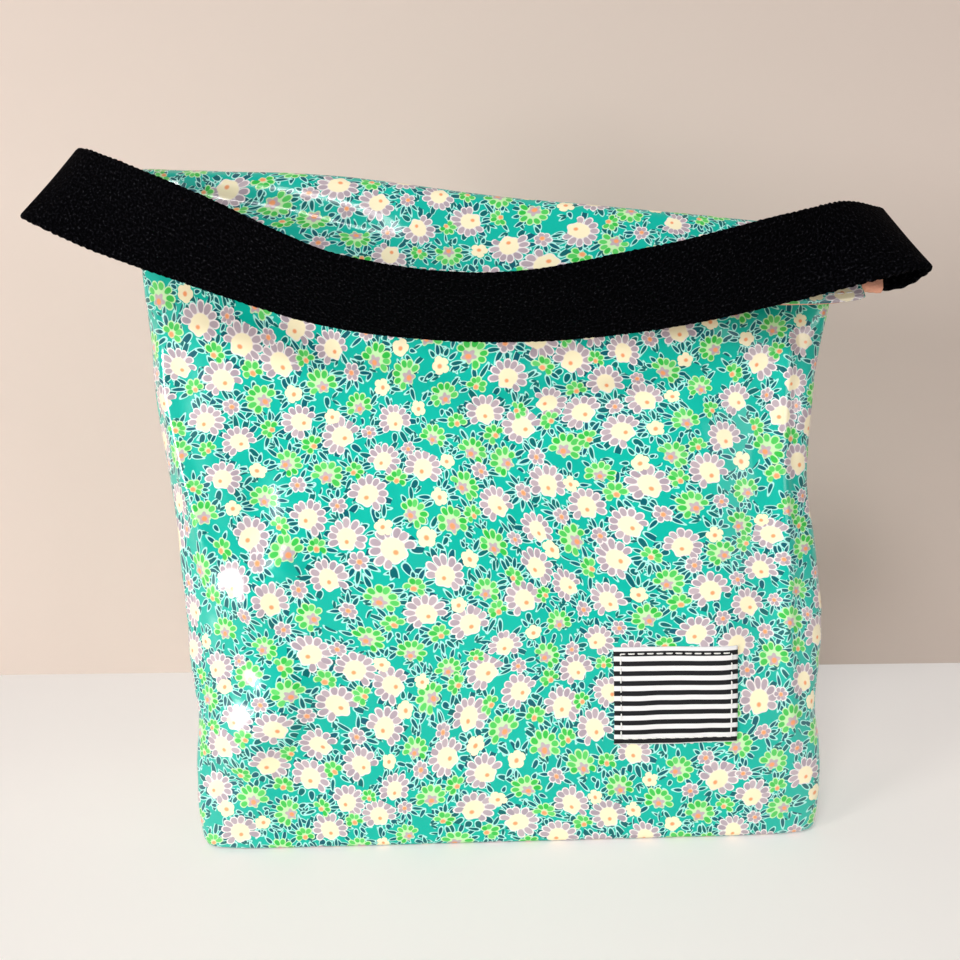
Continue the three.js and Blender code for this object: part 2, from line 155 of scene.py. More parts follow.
def bodyPlace(z, x, forward, side):
    t = z / bagSize["foldHeight"]
    slope = math.radians(bagSize["foldSlope"]) * t * t
    lean = follow(sway + [(1, bagSize["foldLean"])], t)
    return np.stack([lean + x * np.cos(slope), side * forward, z - x * np.sin(slope)], axis=-1)


# Turned about the fold's axis, in the fold line's frame
def turned(x, y, z, degrees):
    a = math.radians(degrees)
    x, dy, z = np.broadcast_arrays(x, y - foldAxisY, z)
    turnedY = foldAxisY + dy * math.cos(a) - z * math.sin(a)
    return np.stack([x, turnedY, dy * math.sin(a) + z * math.cos(a)], axis=-1)


# Helpers for meshes

def newObject(name, mesh, materials):
    item = bpy.data.objects.new(name, mesh)
    bpy.context.scene.collection.objects.link(item)
    for material in materials:
        mesh.materials.append(material)
    mesh.polygons.foreach_set("use_smooth", np.ones(len(mesh.polygons), bool))
    return item


# Mesh from points in millimetres, with a place for each point in each named UV map
def newMesh(name, points, faces, uvMaps):
    mesh = bpy.data.meshes.new(name)
    mesh.from_pydata((points.reshape(-1, 3) * mm).tolist(), [], faces)
    corners = np.array([corner for face in faces for corner in face])
    for label, uv in uvMaps.items():
        layer = mesh.uv_layers.new(name=label)
        layer.data.foreach_set("uv", uv.reshape(-1, 2)[corners].astype(np.float32).ravel())
    mesh.update()
    return mesh


def gridNormals(grid):
    normal = np.cross(np.gradient(grid, axis=1), np.gradient(grid, axis=0))
    return normal / np.maximum(np.linalg.norm(normal, axis=-1, keepdims=True), 1e-9)


def gridFaces(rows, columns, start):
    i, j = np.meshgrid(np.arange(rows), np.arange(columns), indexing="ij")
    first = (start + i * (columns + 1) + j).ravel()
    return np.stack([first, first + 1, first + columns + 2, first + columns + 1], axis=1)


# Closed cloth from its outer grid: first material outside and on the edges, last one inside.
# One UV map has the cloth's own lengths, the other lays the whole piece out once.
def clothSolid(name, grid, uv, thick, materials):
    rows, columns = grid.shape[0] - 1, grid.shape[1] - 1
    inner = grid - gridNormals(grid) * thick
    count = (rows + 1) * (columns + 1)
    outside = gridFaces(rows, columns, 0)
    inside = gridFaces(rows, columns, count)[:, ::-1]
    border = np.concatenate([
        np.arange(columns),
        np.arange(rows) * (columns + 1) + columns,
        rows * (columns + 1) + np.arange(columns, 0, -1),
        np.arange(rows, 0, -1) * (columns + 1),
    ])
    following = np.roll(border, -1)
    rim = np.stack([following, border, border + count, following + count], axis=1)
    v, u = np.meshgrid(np.linspace(0, 1, rows + 1), np.linspace(0, 1, columns + 1), indexing="ij")
    sheet = np.stack([u.ravel(), v.ravel()], axis=1)
    laidOut = np.concatenate([sheet * (0.98, 0.84) + (0.01, 0.01), sheet * (0.98, 0.11) + (0.01, 0.88)])
    mesh = newMesh(name, np.stack([grid, inner]), np.concatenate([outside, inside, rim]).tolist(),
                   {"cloth": np.stack([uv, uv]) * mm, "OFBake": laidOut})
    kinds = np.repeat([0, len(materials) - 1, 0], [len(outside), len(inside), len(rim)])
    mesh.polygons.foreach_set("material_index", kinds.astype(np.int32))
    return newObject(name, mesh, materials)


# Faces between rows of points that each go round, with the ends closed or joined to each other
def tubeFaces(rows, count, ring=False):
    i, j = np.meshgrid(np.arange(rows if ring else rows - 1), np.arange(count), indexing="ij")
    here, ahead, beside = i * count, (i + 1) % rows * count, (j + 1) % count
    faces = np.stack([here + j, here + beside, ahead + beside, ahead + j], axis=-1).reshape(-1, 4).tolist()
    if not ring:
        faces.append(list(range(count))[::-1])
        faces.append([(rows - 1) * count + k for k in range(count)])
    return faces


# Solid through a list of equal closed sections
def sweptSolid(name, sections, uv, materials, ring=False, normals=None):
    rows, count = sections.shape[:2]
    mesh = newMesh(name, sections, tubeFaces(rows, count, ring), {"cloth": uv * mm})
    bm = bmesh.new()
    bm.from_mesh(mesh)
    bmesh.ops.recalc_face_normals(bm, faces=bm.faces)
    bm.to_mesh(mesh)
    bm.free()
    item = newObject(name, mesh, materials)
    if normals is not None:
        mesh.normals_split_custom_set_from_vertices(normals.reshape(-1, 3).tolist())
    elif not ring:
        for face in mesh.polygons[-2:]:
            face.use_smooth = False
    return item


def ringNormals(sections):
    around = np.roll(sections, -1, axis=1) - np.roll(sections, 1, axis=1)
    normal = np.cross(around, np.gradient(sections, axis=0))
    outward = sections - sections.mean(axis=1, keepdims=True)
    facing = np.sign(np.sum(normal * outward))
    return facing * normal / np.maximum(np.linalg.norm(normal, axis=-1, keepdims=True), 1e-9)


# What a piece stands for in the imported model, and the body that carries it if there is only one
def declare(piece, nodes, body=None):
    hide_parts(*nodes)
    if body:
        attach(piece, body)


# Helpers for node groups

# An output in a node tree. A formula starts from one and goes on with plain signs.
class Wire:
    def __init__(self, socket):
        self.socket, self.tree = socket, socket.id_data

    def __add__(self, other):
        return calc("ADD", self, other)

    def __sub__(self, other):
        return calc("SUBTRACT", self, other)

    def __mul__(self, other):
        return calc("MULTIPLY", self, other)

    def __truediv__(self, other):
        return calc("DIVIDE", self, other)


def put(socket, value):
    if isinstance(value, Wire):
        value.tree.links.new(value.socket, socket)
    else:
        socket.default_value = value


def treeOf(values):
    return next(value.tree for value in values if isinstance(value, Wire))


# New node with its settings, and with values for its inputs by number or by name
def newNode(tree, kind, values, **settings):
    node = tree.nodes.new(kind)
    for label, value in settings.items():
        setattr(node, label, value)
    for label, value in values.items() if isinstance(values, dict) else enumerate(values):
        put(node.inputs[label], value)
    return node


def calc(operation, *values, clamp=False):
    node = newNode(treeOf(values), "ShaderNodeMath", values, operation=operation, use_clamp=clamp)
    return Wire(node.outputs[0])


def vectorCalc(operation, *values):
    node = newNode(treeOf(values), "ShaderNodeVectorMath", values, operation=operation)
    return Wire(node.outputs["Value" if operation == "LENGTH" else "Vector"])


def scaled(vector, factor):
    node = newNode(vector.tree, "ShaderNodeVectorMath", {0: vector, "Scale": factor}, operation="SCALE")
    return Wire(node.outputs["Vector"])


def rotated(vector, angle):
    values = {"Vector": vector, "Angle": angle}
    node = newNode(vector.tree, "ShaderNodeVectorRotate", values, rotation_type="Z_AXIS")
    return Wire(node.outputs["Vector"])


def mixed(factor, first, second):
    values = {0: factor, 6: first, 7: second}
    return Wire(newNode(factor.tree, "ShaderNodeMix", values, data_type="RGBA").outputs[2])


def split(vector, kind="XYZ"):
    return [Wire(socket) for socket in newNode(vector.tree, "ShaderNodeSeparate" + kind, [vector]).outputs]


def joined(*parts):
    return Wire(newNode(treeOf(parts), "ShaderNodeCombineXYZ", parts).outputs[0])


# 1 inside a signed distance in millimetres, 0 outside, with a soft edge
def inside(distance, soft=0.08):
    return calc("SUBTRACT", 0.5, distance / soft, clamp=True)


def noise(place, scale, detail=2.0, roughness=0.5, output="Fac"):
    values = {"Vector": place, "Scale": scale, "Detail": detail, "Roughness": roughness}
    return Wire(newNode(place.tree, "ShaderNodeTexNoise", values).outputs[output])


# Inputs are given with what they say where nothing is wired to them, outputs with their kinds
def newGroup(name, inputs, outputs):
    tree = bpy.data.node_groups.new(name, "ShaderNodeTree")
    for label, value in inputs.items():
        kind = "Float" if isinstance(value, float) else "Vector" if len(value) == 3 else "Color"
        socket = tree.interface.new_socket(name=label, in_out="INPUT", socket_type="NodeSocket" + kind)
        socket.default_value = value
    for label, kind in outputs.items():
        tree.interface.new_socket(name=label, in_out="OUTPUT", socket_type="NodeSocket" + kind)
    start, end = tree.nodes.new("NodeGroupInput"), tree.nodes.new("NodeGroupOutput")
    return tree, {label: Wire(start.outputs[label]) for label in inputs}, end.inputs


def useGroup(group, **values):
    node = newNode(treeOf(values.values()), "ShaderNodeGroup", values, node_tree=group)
    return {socket.name: Wire(socket) for socket in node.outputs}


def srgb(red, green, blue):
    def linear(c):
        c = c / 255
        return c / 12.92 if c <= 0.04045 else ((c + 0.055) / 1.055) ** 2.4
    return (linear(red), linear(green), linear(blue), 1.0)


def shaded(colour, share):
    return tuple(share * c for c in colour[:3]) + (1,)


# The shader's inputs come back with the material
def newMaterial(name, look):
    material = bpy.data.materials.new(name)
    material.use_nodes = True
    shader = material.node_tree.nodes["Principled BSDF"].inputs
    shader["Roughness"].default_value = look["roughness"]
    shader["Specular IOR Level"].default_value = look["specular"]
    return material, shader


def clothMap(material):
    return Wire(newNode(material.node_tree, "ShaderNodeUVMap", [], uv_map="cloth").outputs["UV"])


def bump(height, strength, distance):
    values = {"Strength": strength, "Distance": distance, "Height": height}
    return Wire(newNode(height.tree, "ShaderNodeBump", values).outputs["Normal"])


# The print, its sizes in millimetres

# Petals or leaves fanned round the origin with +Y up: how far outside them a place is, and a random shade
def petalFanGroup():
    tree, given, result = newGroup("petalFan", {
        "Local": (0, 0, 0), "Chance": 0.5, "Count": 11.0, "Open": 2.2, "Reach": 5.0, "Long": 1.6, "Wide": 1.0,
        "Taper": 0.0, "Ragged": 0.3, "Kept": 1.0,
    }, {"Distance": "Float", "Shade": "Float"})
    place = split(given["Local"])
    radius = vectorCalc("LENGTH", given["Local"])
    angle = calc("ARCTAN2", place[0], place[1])
    pitch = calc("DIVIDE", 2 * math.pi, given["Count"])
    index = calc("FLOOR", angle / pitch + 0.5)
    direction = index * pitch
    seed = joined(index, given["Chance"] * 91.7, given["Count"])
    dice = split(Wire(newNode(tree, "ShaderNodeTexWhiteNoise", {"Vector": seed}).outputs["Color"]), "Color")
    long = given["Long"] * ((dice[0] - 0.5) * given["Ragged"] + 1.0)
    lean = (dice[1] - 0.5) * (pitch * 0.25)
    turn = angle - direction + lean
    along = (radius * calc("COSINE", turn) - (given["Reach"] - given["Long"] + long)) / long
    narrow = calc("SUBTRACT", 1.0, calc("MINIMUM", along, 1.0) * given["Taper"])
    wide = given["Wide"] * calc("MAXIMUM", narrow, 0.3)
    across = radius * calc("SINE", turn) / wide
    distance = (calc("SQRT", along * along + across * across) - 1.0) * wide
    left = calc("GREATER_THAN", dice[2], given["Kept"])
    outside = calc("GREATER_THAN", calc("ABSOLUTE", direction), given["Open"])
    put(result["Distance"], distance + calc("MAXIMUM", left, outside) * 50.0)
    put(result["Shade"], dice[1])
    return tree


# Nearest flower of a jittered lattice: the place seen from it in millimetres, and two random values
def flowerPlaceGroup():
    tree, given, result = newGroup("flowerPlace", {
        "Place": (0, 0, 0), "Cell": 0.016, "Turn": 0.0, "Shift": (0, 0, 0), "Jitter": 0.3, "Swing": 2.2,
    }, {"Local": "Vector", "Chance": "Float", "Kind": "Float"})
    cells = scaled(rotated(given["Place"], given["Turn"]), calc("DIVIDE", 1.0, given["Cell"]))
    cells = vectorCalc("ADD", cells, given["Shift"])
    values = {"Vector": cells, "Scale": 1.0, "Randomness": given["Jitter"]}
    nearest = newNode(tree, "ShaderNodeTexVoronoi", values, voronoi_dimensions="2D").outputs
    dice = split(Wire(nearest["Color"]), "Color")
    away = vectorCalc("SUBTRACT", cells, Wire(nearest["Position"]))
    size = dice[1] * 0.2 + 0.88
    local = scaled(vectorCalc("MULTIPLY", away, (1, 1, 0)), given["Cell"] * 1000.0 / size)
    put(result["Local"], rotated(local, (dice[0] - 0.5) * given["Swing"] - given["Turn"]))
    put(result["Chance"], dice[1])
    put(result["Kind"], dice[2])
    return tree


# One kind of flower at a place: colour, cover, and the leaves that stand out behind it
def flowerGroup(petalFan):
    tree, given, result = newGroup("flowerKind", {
        "Local": (0, 0, 0), "Chance": 0.5, "Kind": 0.5, "From": 0.0, "To": 1.0, "Petals": 12.0, "Open": 2.1,
        "Reach": 4.9, "Long": 1.6, "Wide": 1.05, "Outline": 0.38, "Heart": 3.1, "Lobes": 0.1, "Drop": 1.2,
        "Dot": 0.75, "Leaves": 13.0, "Leaf Reach": 7.8, "Leaf Long": 2.4, "Leaf Wide": 0.98,
        "Leaf Kept": 0.56, **kindColours("lilac"),
    }, {"Colour": "Color", "Cover": "Float", "Leaf": "Float", "Leaf Edge": "Float", "Leaf Shade": "Float"})
    local = given["Local"]
    shown = calc("GREATER_THAN", given["Kind"], given["From"]) * calc("LESS_THAN", given["Kind"], given["To"])
    fan = useGroup(petalFan, Local=local, Chance=given["Chance"], Count=given["Petals"], Open=given["Open"],
                   Reach=given["Reach"], Long=given["Long"], Wide=given["Wide"], Taper=-0.12, Ragged=0.22)
    leaves = useGroup(petalFan, Local=local, Chance=given["Kind"], Count=given["Leaves"], Open=3.3,
                      Reach=given["Leaf Reach"], Long=given["Leaf Long"], Wide=given["Leaf Wide"], Taper=0.25,
                      Ragged=0.8, Kept=given["Leaf Kept"])
    drop = joined(0, given["Drop"])
    heart = vectorCalc("ADD", local, drop)
    heartPlace = split(heart)
    turn = calc("ARCTAN2", heartPlace[0], heartPlace[1])
    wave = calc("SINE", turn * 5.0 + given["Chance"] * 20.0)
    heartDistance = vectorCalc("LENGTH", heart) - given["Heart"] * (wave * given["Lobes"] + 1.0)
    ringDistance = vectorCalc("LENGTH", local) - (given["Reach"] - given["Long"])
    dotDistance = vectorCalc("LENGTH", vectorCalc("ADD", heart, scaled(drop, 0.35))) - given["Dot"]
    whole = calc("MINIMUM", calc("MINIMUM", fan["Distance"], heartDistance), ringDistance) - given["Outline"]
    colour = mixed(fan["Shade"], given["Petal A"], given["Petal B"])
    colour = mixed(inside(fan["Distance"], 0.25), given["Edge"], colour)
    colour = mixed(inside(ringDistance, 0.4), colour, given["Ring Colour"])
    colour = mixed(inside(heartDistance, 0.4), colour, given["Heart Colour"])
    colour = mixed(inside(dotDistance, 0.5), colour, given["Dot Colour"])
    put(result["Colour"], colour)
    put(result["Cover"], inside(whole) * shown)
    put(result["Leaf"], inside(leaves["Distance"], 0.15) * shown)
    put(result["Leaf Edge"], inside(leaves["Distance"] - 0.3) * shown)
    put(result["Leaf Shade"], leaves["Shade"])
    return tree


printColours = dict(
    ground=srgb(0, 190, 170), groundDeep=srgb(0, 176, 160), leaf=srgb(0, 104, 104), leafBlue=srgb(0, 92, 110),
    leafEdge=srgb(176, 244, 234), lilac=srgb(172, 158, 170), lilacPale=srgb(194, 178, 186),
    white=srgb(244, 236, 236), cream=srgb(254, 244, 206), orange=srgb(248, 164, 110),
    peach=srgb(250, 206, 176), green=srgb(44, 192, 70), greenPale=srgb(100, 215, 110),
    greenEdge=srgb(200, 242, 184),
)

# Where flowers stand: large ones on one lattice, small ones in its gaps, single sprays of leaves on a third
flowerLattices = dict(
    large=dict(Cell=0.0158, Turn=0.42, Shift=(40, 40, 0), Jitter=0.26, Swing=2.4),
    small=dict(Cell=0.0158, Turn=0.42, Shift=(40.5, 40.5, 0), Jitter=0.26, Swing=2.6),
    spray=dict(Cell=0.0079, Turn=0.42, Shift=(80.5, 80.5, 0), Jitter=0.5, Swing=5.5),
)
flowerKinds = [
    ("large", "lilac", {"From": -1, "To": 0.6}),
    ("large", "green", {
        "From": 0.6, "To": 2, "Petals": 10, "Open": 1.9, "Reach": 3.9, "Long": 1.4, "Wide": 0.98, "Heart": 2,
        "Lobes": 0.22, "Drop": 0.9, "Dot": 0.95, "Leaves": 12, "Leaf Reach": 6.9, "Leaf Long": 1.7,
        "Leaf Wide": 0.72}),
    ("small", "greenSmall", {
        "From": -1, "To": 0.46, "Petals": 7, "Open": 2, "Reach": 2.2, "Long": 1.2, "Wide": 0.9, "Heart": 0.9,
        "Drop": 0.5, "Dot": 0.85, "Leaves": 11, "Leaf Reach": 5.2, "Leaf Long": 1.7, "Leaf Wide": 0.62,
        "Leaf Kept": 0.6}),
    ("small", "lilacSmall", {
        "From": 0.46, "To": 0.76, "Petals": 6, "Open": 3.3, "Reach": 1.7, "Long": 1.05, "Wide": 0.85,
        "Heart": 0.9, "Drop": 0.25, "Dot": 0.75, "Leaves": 11, "Leaf Reach": 4.6, "Leaf Long": 1.6,
        "Leaf Wide": 0.6, "Leaf Kept": 0.6}),
    ("small", "cream", {
        "From": 0.76, "To": 2, "Petals": 5, "Open": 3.3, "Reach": 2, "Long": 1, "Wide": 1.1, "Outline": 0.3,
        "Heart": 2.2, "Lobes": 0.12, "Drop": 0.2, "Dot": 0.8, "Leaves": 12, "Leaf Reach": 5.4,
        "Leaf Long": 1.6, "Leaf Wide": 0.65, "Leaf Kept": 0.5}),
]
sprayLook = dict(Count=9, Open=1, Reach=1.9, Long=1.35, Wide=0.5, Taper=0.2, Ragged=0.5, Kept=0.85)

# Scale and reach of the noises that bend the lattices and roughen the drawn edges
printWobbles = [(15.0, 0.014), (170.0, 0.0008)]

# Two colours for the petals, then those of their edge, the heart, the ring behind it and the dot
colourInputs = ("Petal A", "Petal B", "Edge", "Heart Colour", "Ring Colour", "Dot Colour")
flowerColours = dict(
    lilac=("lilac", "lilacPale", "white", "cream", "cream", "orange"),
    green=("green", "greenPale", "greenEdge", "lilacPale", "greenEdge", "orange"),
    greenSmall=("green", "greenPale", "greenEdge", "peach", "greenEdge", "orange"),
    lilacSmall=("lilac", "lilacPale", "white", "peach", "cream", "orange"),
    cream=("cream", "cream", "cream", "cream", "cream", "orange"),
)


def kindColours(kind):
    return {label: printColours[name] for label, name in zip(colourInputs, flowerColours[kind])}


# The small floral print, as a colour for a place on the cloth
def floralGroup():
    tree, given, result = newGroup("floralPrint", {"Place": (0, 0, 0)}, {"Colour": "Color"})
    petalFan, flowerPlace = petalFanGroup(), flowerPlaceGroup()
    flower = flowerGroup(petalFan)
    place = given["Place"]
    for scale, reach in printWobbles:
        wobble = vectorCalc("SUBTRACT", noise(given["Place"], scale, 0, output="Color"), (0.5, 0.5, 0.5))
        place = vectorCalc("ADD", place, scaled(wobble, reach))
    places = {name: useGroup(flowerPlace, Place=place, **look) for name, look in flowerLattices.items()}
    kinds = [useGroup(flower, **places[lattice], **look, **kindColours(colours))
             for lattice, colours, look in flowerKinds]
    spray = useGroup(petalFan, Local=places["spray"]["Local"], Chance=places["spray"]["Chance"], **sprayLook)
    colour = mixed(noise(given["Place"], 22.0), printColours["ground"], printColours["groundDeep"])
    colour = mixed(inside(spray["Distance"] - 0.28), colour, printColours["leafEdge"])
    colour = mixed(inside(spray["Distance"], 0.15), colour, printColours["leaf"])
    for kind in kinds:
        colour = mixed(kind["Leaf Edge"], colour, printColours["leafEdge"])
        leaf = mixed(kind["Leaf Shade"], printColours["leaf"], printColours["leafBlue"])
        colour = mixed(kind["Leaf"], colour, leaf)
    for kind in kinds:
        colour = mixed(kind["Cover"], colour, kind["Colour"])
    put(result["Colour"], colour)
    return tree


# Fine over-and-under weave: height of the threads, for a place on the cloth
def weaveGroup():
    tree, given, result = newGroup("plainWeave", {"Place": (0, 0, 0), "Threads": 2600.0}, {"Height": "Float"})
    place = split(scaled(given["Place"], given["Threads"] * math.pi))
    put(result["Height"], calc("SINE", place[0]) * calc("SINE", place[1]) * 0.5 + 0.5)
    return tree


# Soft crumpling of the laminate, for the highlights
def crinkleGroup():
    tree, given, result = newGroup("filmCrinkle", {"Place": (0, 0, 0)}, {"Height": "Float"})
    coarse = noise(given["Place"], 38.0, 2.0, 0.45)
    put(result["Height"], coarse + noise(given["Place"], 160.0) * 0.12)
    return tree


# How far the film is stretched smooth: 0 on the flat faces, 1 at the corners and sides.
# The front's cloth map has its middle at -0.6 and the back's at 0.6, so both wrap to 0.
def stretchedFilmGroup():
    tree, given, result = newGroup("stretchedFilm", {"Place": (0, 0, 0), "From": 0.086, "Over": 0.026},
                                   {"Share": "Float"})
    aside = calc("ABSOLUTE", calc("WRAP", split(given["Place"])[0], 0.3, -0.3))
    put(result["Share"], calc("DIVIDE", aside - given["From"], given["Over"], clamp=True))
    return tree


floral = floralGroup()
plainWeave = weaveGroup()
crinkle = crinkleGroup()
stretchedFilm = stretchedFilmGroup()


# Materials

laminateLook = dict(
    roughness=0.45, specular=0.12, coat=0.3, cornerCoat=1.0, coatRoughness=0.12, coatIor=1.6, crinkle=0.5,
    crinkleDepth=0.0018, cornerCalm=0.75,
)
insideLook = dict(
    roughness=0.85, specular=0.3, colour=srgb(236, 232, 224), dark=srgb(222, 220, 214), threads=1800.0,
    weave=0.3, weaveDepth=0.0003,
)
liningLook = dict(
    roughness=0.85, specular=0.3, colour=srgb(246, 184, 158), dark=srgb(230, 160, 132), threads=1500.0,
    weave=0.35, weaveDepth=0.0003,
)
webbingLook = dict(
    roughness=0.95, specular=0.03, colour=srgb(0, 0, 1), pale=srgb(24, 24, 29), speck=srgb(80, 80, 84),
    threads=760.0, grain=1100.0, contrast=5.0, level=2.4, speckFrom=0.7, speckShare=0.15, weave=0.8,
    weaveDepth=0.0005,
)
patchLook = dict(
    roughness=0.75, specular=0.3, stripe=0.0038, black=srgb(18, 18, 22), white=srgb(238, 238, 240),
    threads=2400.0, weave=0.4, weaveDepth=0.0002,
)
# One share of the thread's colour is painted as shade in the grooves of its twist.
threadLook = dict(
    roughness=0.6, specular=0.5, white=srgb(246, 246, 243), black=srgb(20, 21, 24), twist=2200.0, grooveShade=0.55,
    relief=0.5, reliefDepth=0.0001,
)


def weaveHeight(place, look):
    return useGroup(plainWeave, Place=place, Threads=look["threads"])["Height"]


def laminateMaterial():
    look = laminateLook
    material, shader = newMaterial("laminatedPrint", look)
    place = clothMap(material)
    put(shader["Base Color"], useGroup(floral, Place=place)["Colour"])
    stretched = useGroup(stretchedFilm, Place=place)["Share"]
    put(shader["Coat Weight"], stretched * (look["cornerCoat"] - look["coat"]) + look["coat"])
    shader["Coat Roughness"].default_value = look["coatRoughness"]
    shader["Coat IOR"].default_value = look["coatIor"]
    height = useGroup(crinkle, Place=place)["Height"] * (stretched * -look["cornerCalm"] + 1)
    put(shader["Normal"], bump(height, look["crinkle"], look["crinkleDepth"]))
    return material


def wovenMaterial(name, look):
    material, shader = newMaterial(name, look)
    place = clothMap(material)
    put(shader["Base Color"], mixed(noise(place, 60.0, 4.0), look["colour"], look["dark"]))
    put(shader["Normal"], bump(weaveHeight(place, look), look["weave"], look["weaveDepth"]))
    return material


def webbingMaterial():
    look = webbingLook
    material, shader = newMaterial("blackWebbing", look)
    place = clothMap(material)
    height = weaveHeight(place, look)
    fuzz = noise(place, look["grain"], 2.0, 0.6)
    grain = calc("MULTIPLY_ADD", fuzz, look["contrast"], -look["level"], clamp=True)
    speck = calc("GREATER_THAN", noise(place, look["grain"], 1.0, 0.5), look["speckFrom"])
    # The fuzz and specks are the webbing's own colour. Weighting the fuzz by the weave's height draws the
    # raised threads paler and the hollows darker: painted shade.
    colour = mixed(grain * (height * 0.5 + 0.4), look["colour"], look["pale"])
    put(shader["Base Color"], mixed(speck * look["speckShare"], colour, look["speck"]))
    put(shader["Normal"], bump(height * 0.5 + grain * 0.7, look["weave"], look["weaveDepth"]))
    return material


def stripeMaterial():
    look = patchLook
    material, shader = newMaterial("stripedPatch", look)
    place = clothMap(material)
    share = calc("FRACT", split(place)[1] / look["stripe"])
    black = inside(calc("ABSOLUTE", share - 0.5) - 0.25, 0.03)
    put(shader["Base Color"], mixed(black, look["white"], look["black"]))
    put(shader["Normal"], bump(weaveHeight(place, look), look["weave"], look["weaveDepth"]))
    return material


def threadMaterial(name, colour):
    look = threadLook
    material, shader = newMaterial(name, look)
    place = split(clothMap(material))
    twist = calc("SINE", (place[0] + place[1]) * (look["twist"] * math.pi))
    # The thread is drawn darker in the grooves of its twist, from a darker copy of its colour: painted shade.
    put(shader["Base Color"], mixed(twist * 0.15 + 0.85, shaded(colour, look["grooveShade"]), colour))
    put(shader["Normal"], bump(twist, look["relief"], look["reliefDepth"]))
    return material


laminate = laminateMaterial()
clothBack = wovenMaterial("laminateInside", insideLook)
liningCloth = wovenMaterial("peachLining", liningLook)
webbing = webbingMaterial()
stripes = stripeMaterial()
whiteThread = threadMaterial("whiteThread", threadLook["white"])
blackThread = threadMaterial("blackThread", threadLook["black"])
print("materials made")


# Relief of the soft cloth, in millimetres along its normal

clothMesh = dict(columns=230, bodyRows=118, foldRows=16, lipRows=16)
liningMesh = dict(columns=170, bodyRows=90, foldRows=12, lipRows=10)
floorMesh = dict(columns=96, rows=24, waver=0.35, waverSize=24)

# Cloth that runs over the fold, what the inner lip lacks of the outer one's depth, the depth over which the
# lips part round the webbing, how far the cloth maps' middles lie from 0, and the tilt in degrees of the
# direction in which the cloth passes from bag to flap
foldRun, innerLipShort, lipSpread, mapMiddle, passingTilt = 8.0, 6.5, 5, 600, 27

# Soft waves, where they calm down, the dip along the side seams and the bow of the crest
reliefWaves = [
    dict(seed=3, height=1.9, size=46, climb=0.8),
    dict(seed=5, height=0.8, size=17, climb=1),
    dict(seed=8, height=0.22, size=6.5, climb=1),
]
reliefCalm = dict(baseFrom=2, baseTo=26, foldFrom=26, foldTo=4, foldShare=0.75, seam=14)
seamDip = dict(depth=0.9, width=1.6)
crestBow = dict(middle=-56, width=34, rise=1.8, below=70, beyond=25, loss=0.6)

# Creases: a line of places on the cloth, across from the middle and up from the base, then height and width
frontCreases = [
    ([(-121, 208), (-117, 166), (-110, 132), (-106, 100)], 1.8, 3.2),
    ([(-130, 214), (-124, 166), (-117, 120), (-117, 70), (-117, 22)], -1.8, 6),
    ([(-99, 88), (-88, 102), (-72, 116)], 4, 9.5),
    ([(-86, 146), (-82, 128), (-80, 112)], -1.2, 7),
    ([(-109, 28), (-97, 46), (-87, 56), (-82, 82)], 5.2, 12),
    ([(0, 186), (46, 182), (90, 174), (126, 166)], -3.6, 13),
    ([(-106, 8), (-100, 18), (-90, 28)], 1.6, 6),
    ([(-84, 150), (-88, 120), (-80, 92)], -1.6, 7),
    ([(113, 215), (111, 185), (107, 130), (103, 84), (110, 14)], 2, 3.2),
    ([(96, 185), (95, 120), (90, 50)], -1.4, 8),
    ([(134, 222), (134, 190), (137, 120), (138, 50), (136, 10)], -2.2, 13),
    ([(52, 8), (66, 22), (84, 26)], 0.9, 4),
    ([(20, 9), (36, 20), (40, 34)], 0.8, 5),
]
lipCreases = [
    ([(-130, 243), (-108, 247), (-76, 251), (-50, 256), (-20, 263)], -2.8, 4.6),
    ([(-118, 254), (-90, 259), (-60, 264), (-30, 270)], 0.6, 4.6),
    ([(40, 246), (84, 252), (120, 256)], 0.9, 4),
]
backCreases = [
    ([(-112, 190), (-70, 150), (-20, 130), (40, 138)], -1.4, 7),
    ([(110, 180), (80, 120), (72, 60)], 1.5, 6),
    ([(-96, 90), (-88, 50), (-94, 20)], 1.6, 5),
]


# Values between those at the four corners of a cell, at a share of the way along each side
def between(corners, s, t):
    return (corners[0] * (1 - s) + corners[1] * s) * (1 - t) + (corners[2] * (1 - s) + corners[3] * s) * t


# Smooth seeded noise from -1 to 1, which repeats after a number of cells
def softNoise(seed, u, v, size, cells=64):
    table = np.random.default_rng(seed).uniform(-1, 1, (cells, cells))
    a, b = u / size, v / size
    i, j = np.floor(a).astype(int), np.floor(b).astype(int)
    corners = [table[(i + m) % cells, (j + n) % cells] for n in (0, 1) for m in (0, 1)]
    return between(corners, smooth(a - i, 0, 1), smooth(b - j, 0, 1))


def creaseHeight(x, v, course, height, width):
    best = np.full(np.shape(x), 1e9)
    share = np.zeros(np.shape(x))
    spans = len(course) - 1
    for k in range(spans):
        (ax, av), (bx, bv) = course[k], course[k + 1]
        dx, dv = bx - ax, bv - av
        t = np.clip(((x - ax) * dx + (v - av) * dv) / (dx * dx + dv * dv), 0, 1)
        distance = np.hypot(x - ax - t * dx, v - av - t * dv)
        nearer = distance < best
        best = np.where(nearer, distance, best)
        share = np.where(nearer, (k + t) / spans, share)
    ends = smooth(share, 0, 0.25) * (1 - smooth(share, 0.75, 1))
    return height * ends * np.exp(-(best / width) ** 2)


